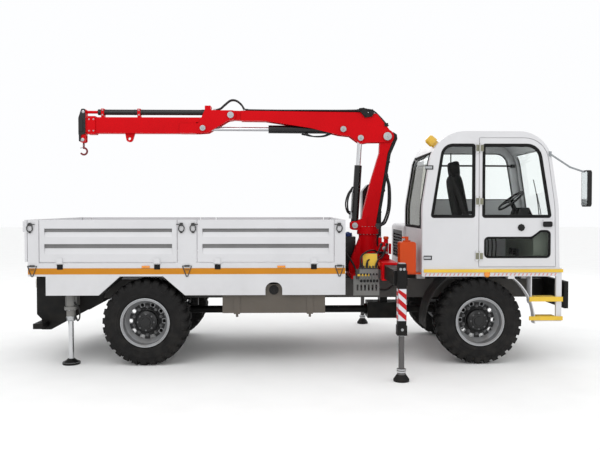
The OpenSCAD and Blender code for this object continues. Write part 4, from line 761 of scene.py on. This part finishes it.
# Bed: side stripe, hinge covers, lashing rings, latches, lamps and filler
BOARD_HINGES = (-3014, -1827.5, -1084.5, 102)
RING_Z0, RING_Z1, LATCH_Z = 1112, 1244, 1752
stripe, covers, rings, latches, marker = (Shape() for _ in range(5))
for sgn in (-1, 1):
    out = (0, sgn, 0)
    for z0, z1 in ((25, 97), (98, 101)):
        stripe.box(BED_X0 + 47, BED_X1 - 2, *band(sgn, RAIL_FACE + 0.4, RAIL_FACE + 1.6),
                   RAIL_Z + z0, RAIL_Z + z1)
    for x in BOARD_HINGES:
        covers.box(x - 36, x + 36, *band(sgn, RAIL_FACE + 0.4, RAIL_FACE + 5), 1200, 1262)
        for dx in (-20, 20):
            covers.lathe((x + dx, sgn * (RAIL_FACE + 5), 1214), out, [(9, 0), (8, 1.2), (3, 1.8)], 16)
    for x in (-3351, -1460, 419):
        loop = ((-56, RING_Z1), (56, RING_Z1), (7, RING_Z0), (-7, RING_Z0), (-56, RING_Z1))
        rings.tube([(x + dx, sgn * (RAIL_FACE + 8), z) for dx, z in loop], 6, 8, 0)
        deep = band(sgn, RAIL_FACE + 0.5, RAIL_FACE + 16)
        rings.box(x - 30, x + 30, *deep, RING_Z1 - 11, RING_Z1 + 11)
        rings.box(x - 24, x + 24, *deep, RING_Z1 - 48, RING_Z1 - 44)
    y, zc = sgn * (HALF_W + 7), LATCH_Z
    for x, way in ((BED_X0 + 78, 1), (-1528, -1), (-1384, 1), (BED_X1 - 78, -1)):
        handle = ((-8, -2), (-34, -26), (-30, -70), (0, -92), (30, -64), (26, -18), (8, 0))
        latches.tube([(x + dx * way, y, zc + dz) for dx, dz in handle], 7, 8, 5)
        latches.box(x - 20, x + 20, *band(sgn, HALF_W + 0.4, HALF_W + 6), zc - 16, zc + 22)
        latches.cyl((x - 24 * way, y, zc + 4), (x + 60 * way, y, zc + 4), 6, 10)
        latches.nut((x, sgn * (HALF_W + 6), zc + 12), out, 8, 8)
        latches.box(x - 14, x + 14, *band(sgn, HALF_W + 0.4, HALF_W + 5), zc - 104, zc - 78)
    for x in (-1966, -300):
        marker.box(x - 50, x + 50, *band(sgn, RAIL_FACE + 0.5, RAIL_FACE + 12), RAIL_Z + 104, RAIL_Z + 130)
stripe.done("bed_stripe", STRIPE, "chassis", "step_yellow")
covers.done("bed_hinge_covers", BLACK, "chassis", "axle_black", bevel=2)
rings.done("lashing_rings", IRON, "chassis", "engine_grey", bevel=1)
latches.done("board_latches", IRON, "chassis", "engine_grey", bevel=1)
marker.done("side_markers", AMBER, "chassis", "beacon_amber", bevel=4)

filler = Shape()
filler.lathe((-393, -RAIL_FACE + 42, 940), NEAR,
             [(58, -30), (58, 8), (52, 16), (30, 18), (28, 26), (4, 27)], 32)
filler.box(-405, -381, -RAIL_FACE + 10, -RAIL_FACE + 26, 905, 975)
filler.done("filler_cap", PLASTIC, "chassis", "mirror_black", bevel=2)

# Reflective tape and the indicator under the cab door
tape = Shape()
for x0, x1 in ((1470, 2200), (2330, 3160)):
    tape.box(x0, x1, CAB_Y0 - 1.6, CAB_Y0 - 0.6, BASE_Z + 6, BASE_Z + 44)
tape.done("reflective_tape_white", TAPE_WHITE, "chassis", "body_white")
tape = Shape()
z0, z1 = BASE_Z + 10, BASE_Z + 40
for x0, n in ((1480, 14), (2340, 16)):
    for x in range(x0, x0 + n * 51, 51):
        tape.plate([(x, z0), (x + 16, z0), (x + 30, z1), (x + 14, z1)], CAB_Y0 - 2.4, CAB_Y0 - 1.7)
tape.done("reflective_tape_red", TAPE_MARK, "chassis", "crane_red")
indicator = Shape()
indicator.lathe((2261, CAB_Y0 - 0.5, BASE_Z + 28), NEAR, [(38, 0), (38, 7), (30, 15), (5, 18)], 28)
indicator.done("side_indicator", AMBER, "chassis", "beacon_amber")

# Crane: caps on the pins, as X, Z, half width over the fork and radius
caps = {"inner_boom": [(*LUFF, 110, 58), (*KNUCKLE, 104, 46), (*FOLD_P, 100, 42), (*LIFT_Q, 103, 42)],
        "outer_boom": [(*FOLD_Q, 106, 40)], "crane_column": [(*LIFT_P, 92, 42)]}
for body, pins in caps.items():
    s = Shape()
    for x, z, half, r in pins:
        for sgn in (-1, 1):
            s.lathe((x, sgn * half, z), (0, sgn, 0),
                    [(r, 0.3), (r, 7), (r - 4, 10), (r * 0.5, 10), (r * 0.46, 13), (4, 13)], 32)
        s.nut_pair(x, half + 12, z, 9, 10)
    s.done("pin_caps_" + body, STEEL, body, "rim_grey", bevel=1)

# The extension ram in black, its bolts, and the boom tip
ram = Shape()
ram.lathe((BOX_X0 + 132, 0, RAM_Z), ALONG,
          [(41, 0), (41, 30), (38.4, 34), (38.4, 1430), (42, 1434), (42, 1476)], 40)
for x in (BOX_X1 - 740, BOX_X1 - 850):
    ram.torus((x, 0, RAM_Z), ALONG, 39, 4, 40, 8)
ram.done("extension_ram_cover", GLOSS_BLACK, "outer_boom", "barrel_black", bevel=1)

bolts = Shape()
for x in (BOX_X0 + 200, BOX_X1 - 790):
    for dz in (26, -40):
        bolts.nut_pair(x, 44, RAM_Z + dz, 8, 10)
for dx in (20, 60):
    for y in (-40, 40):
        bolts.nut((KNUCKLE[0] - 356 + dx, y, KNUCKLE[1] + 129), UP, 8, 9)
for x in (BOX_X0 + 24, BOX_X0 + 84):
    for z in (BOX_Z0 + 30, BOX_Z1 - 30):
        bolts.nut_pair(x, 80, z, 8, 8)
bolts.done("boom_bolts", STEEL, "outer_boom", "rim_grey", bevel=1)

tip = Shape()
outline = rounded([(TIP_X + 2, HOOK_Z - 22, 9), (TIP_X + 24, HOOK_Z - 26, 9), (TIP_X + 34, BOX_Z0 - 26, 8),
                   (BOX_X0 - 31, BOX_Z0 - 8, 4), (BOX_X0 - 31, RAM_Z + 41, 20),
                   (TIP_X + 38, RAM_Z + 41, 24), (TIP_X - 1, BOX_Z1, 24)], 6)
for sgn in (-1, 1):
    tip.plate(outline, *band(sgn, 58.4, 63))
    tip.box(TIP_X + 8, TIP_X + 60, *band(sgn, 63, 72), BOX_Z0 + 20, BOX_Z1 - 20)
tip.box(TIP_X - 5, TIP_X - 0.6, -58, 58, BOX_Z0 - 20, BOX_Z1 - 6)
for z in (BOX_Z0 + 4, BOX_Z0 + 70, BOX_Z0 + 140, BOX_Z1 + 8, RAM_Z + 10):
    tip.nut_pair(TIP_X + 84, 63, z, 8, 9)
tip.done("boom_tip_cover", GLOSS_BLACK, "boom_extension", "barrel_black", bevel=2)

pin = Shape()
for sgn in (-1, 1):
    pin.lathe((HOOK_X, sgn * 54.4, HOOK_Z), (0, sgn, 0), [(26, 0), (26, 5), (20, 8), (4, 8)], 24)
    pin.lathe((TIP_X + 66, sgn * 58.6, RAM_Z), (0, sgn, 0), [(22, 0), (22, 10), (16, 13), (4, 13)], 24)
pin.done("tip_pins", STEEL, "boom_extension", "rim_grey", bevel=1)

latch = Shape()
latch.plate(rounded([(HOOK_X - 44, HOOK_Z - 118, 4), (HOOK_X - 8, HOOK_Z - 104, 4),
                     (HOOK_X - 6, HOOK_Z - 96, 4), (HOOK_X - 50, HOOK_Z - 106, 4)], 4), -9, 9)
latch.torus((HOOK_X, 0, HOOK_Z - 70), UP, 15, 4, 24, 8)
latch.done("hook_latch", STEEL, "hook", "rim_grey", bevel=1)


def line(name, runs, r, body, ends=True):
    """Hoses of radius r, with swaged fittings at their ends."""
    s = Shape()
    for pts in runs:
        path = curve(pts, 10)
        s.tube(pts, r, 12, 10)
        if ends:
            for p, q in ((path[0], path[2]), (path[-1], path[-3])):
                d = (q - p).normalized()
                s.cyl(p - d * 2, p + d * 34, r * 1.35, 14)
                s.cyl(p - d * 16, p + d * 2, r * 1.6, 6)
    s.done(name, HOSE, body, "barrel_black")


# Two hoses loop over the knuckle, from the inner boom's top to the outer boom
LOOP_Y = (-34, 6)
loop = Shape()
for y in LOOP_Y:
    loop.tube([(-812 + y * 0.2, y, 3314), (-858, y, 3390), (-930, y, 3448), (-1010, y, 3452),
               (-1090, y, 3392), (-1150, y, 3340), (-1215, y, 3318)], 13, 12, 12)
over = loop.done("knuckle_hoses", HOSE, None, "barrel_black")
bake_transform(over)

roots = Shape()
for y in LOOP_Y:
    roots.cyl((-816 + y * 0.2, y, 3296), (-813 + y * 0.2, y, 3322), 19, 6)
roots.box(-850, -780, -60, 32, 3297, 3305)
roots.done("hose_roots_inner", STEEL, "inner_boom", "rim_grey", bevel=1)
roots = Shape()
roots.box(-1282, -1205, -58, 30, 3304, 3312)
for y in LOOP_Y:
    roots.cyl((-1250, y, 3316), (-1210, y, 3318), 19, 6)
roots.done("hose_roots_outer", STEEL, "outer_boom", "rim_grey", bevel=1)

# Hose guide on the inner boom's top, and a clamp on its nose
guide = Shape()
outline = [(747, 3294), (790, 3294), (858, 3210), (958, 3228), (986, 3290), (960, 3330), (900, 3276),
           (842, 3348), (778, 3340)]
for sgn in (-1, 1):
    guide.plate(outline, *band(sgn, 85.4, 112))
guide.box(776, 842, -90, 90, 3330, 3342)
guide.box(940, 975, -90, 90, 3304, 3322)
guide.box(1128, 1180, -98, 98, 3092, 3138)
for x, z in ((862, 3240), (930, 3250), (800, 3316)):
    guide.nut_pair(x, 112, z, 9, 10)
guide.done("hose_guide", PLASTIC, "inner_boom", "mirror_black", bevel=3)

# Hoses along the boom's back to its nose, and the channel down the column
NOSE_RUN = ((850, 70, 3330), (968, 72, 3310), (1072, 74, 3218), (1150, 74, 3130), (1170, 74, 3106))
BACK_RUN = ((-800, 20, 3322), (-400, 20, 3318), (100, 24, 3318), (500, 40, 3316), (780, 60, 3318))
line("boom_hoses", [[(x, sgn * y, z) for x, y, z in run] for run in (NOSE_RUN, BACK_RUN) for sgn in (-1, 1)],
     12, "inner_boom")
guard = Shape()
guard.skin([[(x, -52, z), (x + 44, -52, z - 6), (x + 44, 52, z - 6), (x, 52, z)] for x, z in (
    (1222, 3020), (1266, 2990), (1274, 2930), (1240, 2850), (1182, 2717), (1129, 2400), (1074, 2070),
    (1036, 1850), (1024, 1750))])
for z, x in ((2600, 1162), (2200, 1095), (1900, 1045)):
    guard.box(x - 4, x + 52, -60, 60, z - 14, z + 14)
guard.done("column_hose_channel", PLASTIC, "crane_column", "mirror_black", bevel=4)

# Column: hoses, swivel block at its foot, slew ring bolts
line("column_hoses", [
    [(1170, -44, 2420), (1212, -58, 2240), (1210, -72, 1960), (1150, -84, 1760), (1066, -80, 1706)],
    [(1166, -14, 2400), (1196, -30, 2240), (1186, -44, 1960), (1132, -54, 1780), (1066, -48, 1716)],
    [(985, 84, 1700), (1010, 110, 1900), (1040, 112, 2150), (1110, 96, 2420), (1190, 60, 2600)],
    [(950, 84, 1700), (968, 122, 1900), (1000, 124, 2150), (1080, 104, 2440), (1180, 62, 2640)]],
     14, "crane_column")
swivel = Shape()
swivel.box(1010, 1064, -104, 104, 1668, 1736)
swivel.box(925, 1010, 61, 96, 1672, 1716)
for y in (-80, -48):
    swivel.nut((1064, y, 1716), ALONG, 12, 14)
swivel.done("column_swivel", IRON, "crane_column", "engine_grey", bevel=4)
for name, body, r, start, dz, axis in (("slew_bolts_upper", "crane_column", 137, 10, 60, UP),
                                       ("slew_bolts_lower", "chassis", 140, 0, -40, DOWN)):
    ring = Shape()
    for cos, sin in turns(18, start):
        ring.nut((SLEW_X + r * cos, r * sin, SLEW_Z + dz), axis, 8, 9)
    ring.done(name, STEEL, body, "rim_grey", bevel=1)

# Loops and pipes on the two cylinders
lift = Vector((LIFT_Q[0] - LIFT_P[0], LIFT_Q[1] - LIFT_P[1])).normalized()


def on_lift(along, side, y):
    """A point beside the lift cylinder: distance up its axis, and out from it towards the bed."""
    return (LIFT_P[0] + lift.x * along - lift.y * side, y, LIFT_P[1] + lift.y * along + lift.x * side)


line("lift_hoses", [[on_lift(*p) for p in run] for run in (
    ((150, 62, -20), (190, 120, -60), (300, 150, -84), (430, 124, -70), (520, 64, -24)),
    ((170, 62, 20), (210, 105, -30), (320, 122, -66), (420, 104, -40), (500, 64, 16)))], 11, "lift_barrel")
pipe = Shape()
pipe.tube([on_lift(*p) for p in ((140, 58, -34), (260, 62, -36), (440, 62, -36), (520, 54, -30))], 8, 10)
port = on_lift(140, 52, 0)
pipe.box(port[0] - 30, port[0] + 8, -40, 40, port[2] - 46, port[2] + 40)
pipe.done("lift_pipe", STEEL, "lift_barrel", "rim_grey", bevel=1)
line("fold_hoses", [[(FOLD_P[0] - x, y, FOLD_P[1] - z) for x, y, z in run] for run in (
    ((170, -30, 58), (260, -52, 96), (400, -50, 100), (520, -26, 60)),
    ((200, 26, 58), (300, 40, 84), (440, 40, 86), (560, 26, 60)))], 9, "fold_barrel")

# Control station: plate, lever knobs, second valve block and its hoses
CTL_X, CTL_Y, CTL_Z = 739, -925, 1175
LEAN = math.radians(20)


def on_plate(x, up, out):
    """A point on the leaning plate: along it, up it and out from its face."""
    c, s = math.cos(LEAN), math.sin(LEAN)
    return (CTL_X + x, CTL_Y + up * s - out * c, CTL_Z + up * c + out * s)


sign = Shape()
for edge, lifts in (((4, 186, 4, 206, 8), (0.6, 3)), ((20, 92, 110, 192, 4), (2.8, 4.2))):
    sign.skin([[on_plate(x, z, out) for x, z in rect(*edge, 4)] for out in lifts])
for x in (14, 176):
    for z in (14, 196):
        sign.cyl(on_plate(x, z, 2.8), on_plate(x, z, 6), 5, 10)
sign.box(665, 815, -968.5, -965.4, 1092, 1118)
sign.done("blank_plate", YELLOW, "chassis", "step_yellow")

LEVER = (-0.04, -0.75, -0.66)
knobs = Shape()
for k in range(6):
    p = Vector((704 + 40 * k, -1045, 1040))
    knobs.lathe(p, LEVER, [(6, -16), (15.5, -12), (17, 2), (14, 14), (6, 18)], 16)
    knobs.lathe(p + Vector((5, 92, 80)), LEVER, [(15, -6), (15, 10), (8, 26), (6.6, 30)], 16)
knobs.done("lever_knobs", PLASTIC, "chassis", "mirror_black", bevel=1)

valve = Shape()
for k in range(6):
    x = 692 + 39 * k
    valve.box(x, x + 35, -962, -832, 1181, 1196)
    for y in (-930, -870):
        valve.cyl((x + 17, y, 1195), (x + 17, y, 1222), 12, 6)
for x in (650, 930):
    valve.box(x, x + 38, -960, -830, 1060, 1170)
valve.done("valve_bank", IRON, "chassis", "engine_grey", bevel=3)

second = Shape()
second.box(985, 1140, -520, -400, 1270.5, 1330)
second.box(1000, 1125, -510, -410, 1329, 1500)
second.cyl((1062, -510, 1420), (1062, -560, 1420), 42, 24)
second.cyl((1020, -460, 1499), (1020, -460, 1560), 24, 20)
second.cyl((1100, -460, 1499), (1100, -460, 1540), 30, 20)
second.box(1140, 1166, -500, -420, 1340, 1480)
second.done("crane_valve_block", RED, "chassis", "crane_red", bevel=5)
parts = Shape()
for x, z in ((1025, 1360), (1062, 1360), (1100, 1360), (1025, 1470), (1100, 1470)):
    parts.nut((x, -510, z), NEAR, 13, 22)
parts.nut((1062, -560, 1420), NEAR, 20, 22)
parts.nut((1020, -460, 1560), UP, 16, 20)
parts.done("crane_valve_fittings", STEEL, "chassis", "rim_grey", bevel=1)
gauge = Shape()
gauge.lathe((1100, -460, 1540), UP, [(34, 0), (36, 6), (36, 26), (28, 36), (5, 38)], 24)
gauge.lathe((960, -880, 1230), (0, -1, 0.4), [(14, -40), (14, 0), (32, 4), (32, 24), (26, 30), (4, 31)], 24)
gauge.done("valve_caps", ORANGE, "chassis", "bottle_orange", bevel=1)
line("valve_hoses", [
    [(709, -930, 1222), (712, -930, 1330), (790, -860, 1392), (900, -640, 1400), (990, -512, 1362)],
    [(748, -870, 1222), (756, -850, 1300), (840, -760, 1352), (940, -600, 1356), (1028, -534, 1360)],
    [(787, -930, 1222), (800, -910, 1282), (880, -800, 1316), (970, -660, 1380), (1026, -534, 1468)],
    [(826, -870, 1222), (846, -840, 1270), (920, -760, 1296), (1010, -640, 1330), (1064, -534, 1360)],
    [(904, -930, 1222), (930, -920, 1290), (1000, -800, 1320), (1060, -660, 1400), (1100, -534, 1468)]],
     11, "chassis")
line("base_hoses", [
    [(700, -840, 1060), (690, -800, 980), (720, -700, 930), (820, -560, 920), (900, -440, 985)],
    [(760, -840, 1060), (752, -790, 965), (800, -690, 905), (900, -600, 890), (1010, -470, 960)],
    [(880, -840, 1060), (892, -800, 960), (960, -720, 900), (1080, -640, 880), (1190, -520, 930)],
    [(640, 230, 1300), (560, 120, 1380), (600, -60, 1330), (690, -160, 1180), (720, -300, 1090)]],
     13, "chassis", ends=False)

cap = Shape()
cap.lathe((659, 300, 1544), UP, [(57, 2), (60, 6), (60, 46), (54, 54), (24, 56), (22, 66), (5, 67)], 32)
cap.done("oil_filler_cap", BLUE, "chassis", "oil_tank_dark", bevel=1)

# Outriggers and rear jacks: striped tape, collars, feet and hoses
TAPE_X0, TAPE_X1, TAPE_Z0, TAPE_Z1 = BEAM_X - 45, BEAM_X + 45, 689, 1048
for side, sgn in SIDES:
    beam, leg_axis, jack_axis = f"outrigger_beam_{side}", (BEAM_X, sgn * LEG_Y, 0), (JACK_X, sgn * JACK_Y, 0)
    tape, red = Shape(), Shape()
    tape.plate([(TAPE_X0, TAPE_Z0), (TAPE_X1, TAPE_Z0), (TAPE_X1, TAPE_Z1), (TAPE_X0, TAPE_Z1)],
               *band(sgn, LEG_FACE + 0.4, LEG_FACE + 1.2))
    for k in range(-1, 4):
        lo = TAPE_Z0 + 118 * k
        slant = ((TAPE_X0, lo + 80), (TAPE_X1, lo), (TAPE_X1, lo + 62), (TAPE_X0, lo + 142))
        pts = [(x, max(TAPE_Z0, min(TAPE_Z1, z))) for x, z in slant]
        if len(set(pts)) == 4:
            red.plate(pts, *band(sgn, LEG_FACE + 1.3, LEG_FACE + 2.1))
    across = band(sgn, LEG_Y - 45, LEG_Y + 45)
    for face in (-1, 1):
        tape.box(*(BEAM_X + x for x in band(face, 47.9, 48.7)), *across, TAPE_Z0, TAPE_Z1)
        for z in range(TAPE_Z0 + 10, TAPE_Z0 + 370, 90):
            red.box(*(BEAM_X + x for x in band(face, 48.8, 49.5)), *across, z, z + 50)
    tape.done(f"leg_tape_{side}", TAPE_WHITE, beam, "body_white")
    red.done(f"leg_stripes_{side}", TAPE_RED, beam, "crane_red")
    cuff = Shape()
    cuff.lathe(leg_axis, UP, [(40, 517), (52, 517), (54, 519), (54, 523.6), (40, 523.6)], 40, loop=True)
    for dx, y, z in ((0, LEG_Y + 56, 590), (20, LEG_FACE, 1270), (-20, LEG_FACE, 1270)):
        cuff.nut((BEAM_X + dx, sgn * y, z), (0, sgn, 0), 12, 14)
    cuff.box(BEAM_X - 38, BEAM_X + 38, *band(sgn, LEG_Y - 38, LEG_Y + 38), 1328.5, 1338)
    cuff.done(f"leg_fittings_{side}", STEEL, beam, "rim_grey", bevel=1)
    foot = Shape()
    foot.lathe(leg_axis, UP, [(89.5, 1), (89.5, 26), (86, 29), (41, 96), (39, 98), (33.4, 98)], 48)
    foot.done(f"leg_foot_{side}", BLACK, f"outrigger_leg_{side}", "outrigger_black", bevel=1)
    ring = Shape()
    ring.lathe(leg_axis, UP, [(r, FOOT_Z - d) for r, d in (
        (51, 42), (53, 39), (53, 24), (48, 22), (48, 14), (53, 12), (53, 3), (50, 0.6), (33.4, 0.6),
        (33.4, 42))], 40, loop=True)
    ring.done(f"leg_collar_{side}", CHROME, f"outrigger_leg_{side}", "leg_grey")
    pad = Shape()
    pad.lathe(jack_axis, UP, [
        (JACK_PAD + 1, 2), (JACK_PAD + 1.5, 26), (JACK_PAD - 2, 31), (JACK_PAD - 12, 32), (JACK_PAD - 18, 32),
        (44, 68), (43.5, 71), (33.6, 71)], 48)
    pad.done(f"jack_foot_{side}", BLACK, f"jack_{side}", "outrigger_black")
    top = Shape()
    top.lathe(jack_axis, UP, [(r, JACK_Z0 + h) for r, h in (
        (34, -14), (50, -14), (58, -4), (60, 40), (56, 46), (55.4, 46), (55.4, -0.4), (34, -0.4))],
        40, loop=True)
    for cos, sin in turns(6, 30):
        top.nut((JACK_X + 68 * cos, sgn * JACK_Y + 68 * sin, JACK_Z0 + 130), DOWN, 7, 9)
    top.done(f"jack_gland_{side}", STEEL, "chassis", "rim_grey", bevel=1)
    run = ((52, 20, 210), (110, 40, 150), (120, 40, 40), (92, 30, -10), (62, 10, 30))
    line(f"jack_hose_{side}", [[(JACK_X + x, sgn * (JACK_Y + y), JACK_Z0 + z) for x, y, z in run]], 9,
         "chassis")

# Mirror glass, and lenses at the rear
glass_pane = Shape()
for y0 in (CAB_Y0 - 230, 1160):
    pts = rect(y0 + 14, y0 + 166, 1986, 2403, 28, 6)
    glass_pane.skin([[(x, y, z) for y, z in pts] for x in (3414.6, 3412)])
glass_pane.done("mirror_glass", SILVER, "chassis", "lamp_lens")
rear = Shape()
for y in (-750, 750, -620, 620):
    rear.lathe((-3435.3, y, 995), (-1, 0, 0), [(44, 0), (44, 8), (36, 14), (5, 16)], 32)
rear.done("rear_lamps", LENS_RED, "chassis", "lamp_lens")

# Painted shade: grey strips in the dropsides' grooves, standing in for the shadow under each rib's overhang
for name, x0, x1 in (("rear", -3264, -1577.5), ("front", -1334.5, 352)):
    for side, sgn in SIDES:
        strips = Shape()
        for z0, z1 in ((1462, 1514), (1660, 1704)):
            strips.box(x0 + 66, x1 - 66, *band(sgn, HALF_W - 21.6, HALF_W - 17), z0 + 2, z1 - 1)
            strips.box(x0 + 66, x1 - 66, *band(sgn, HALF_W - 17.2, HALF_W - 12), z1 - 12, z1 - 1)
        strips.done(f"painted_groove_shade_{name}_{side}", GROOVE_SHADE, f"dropside_{name}_{side}", "grille_dark", bevel=1)
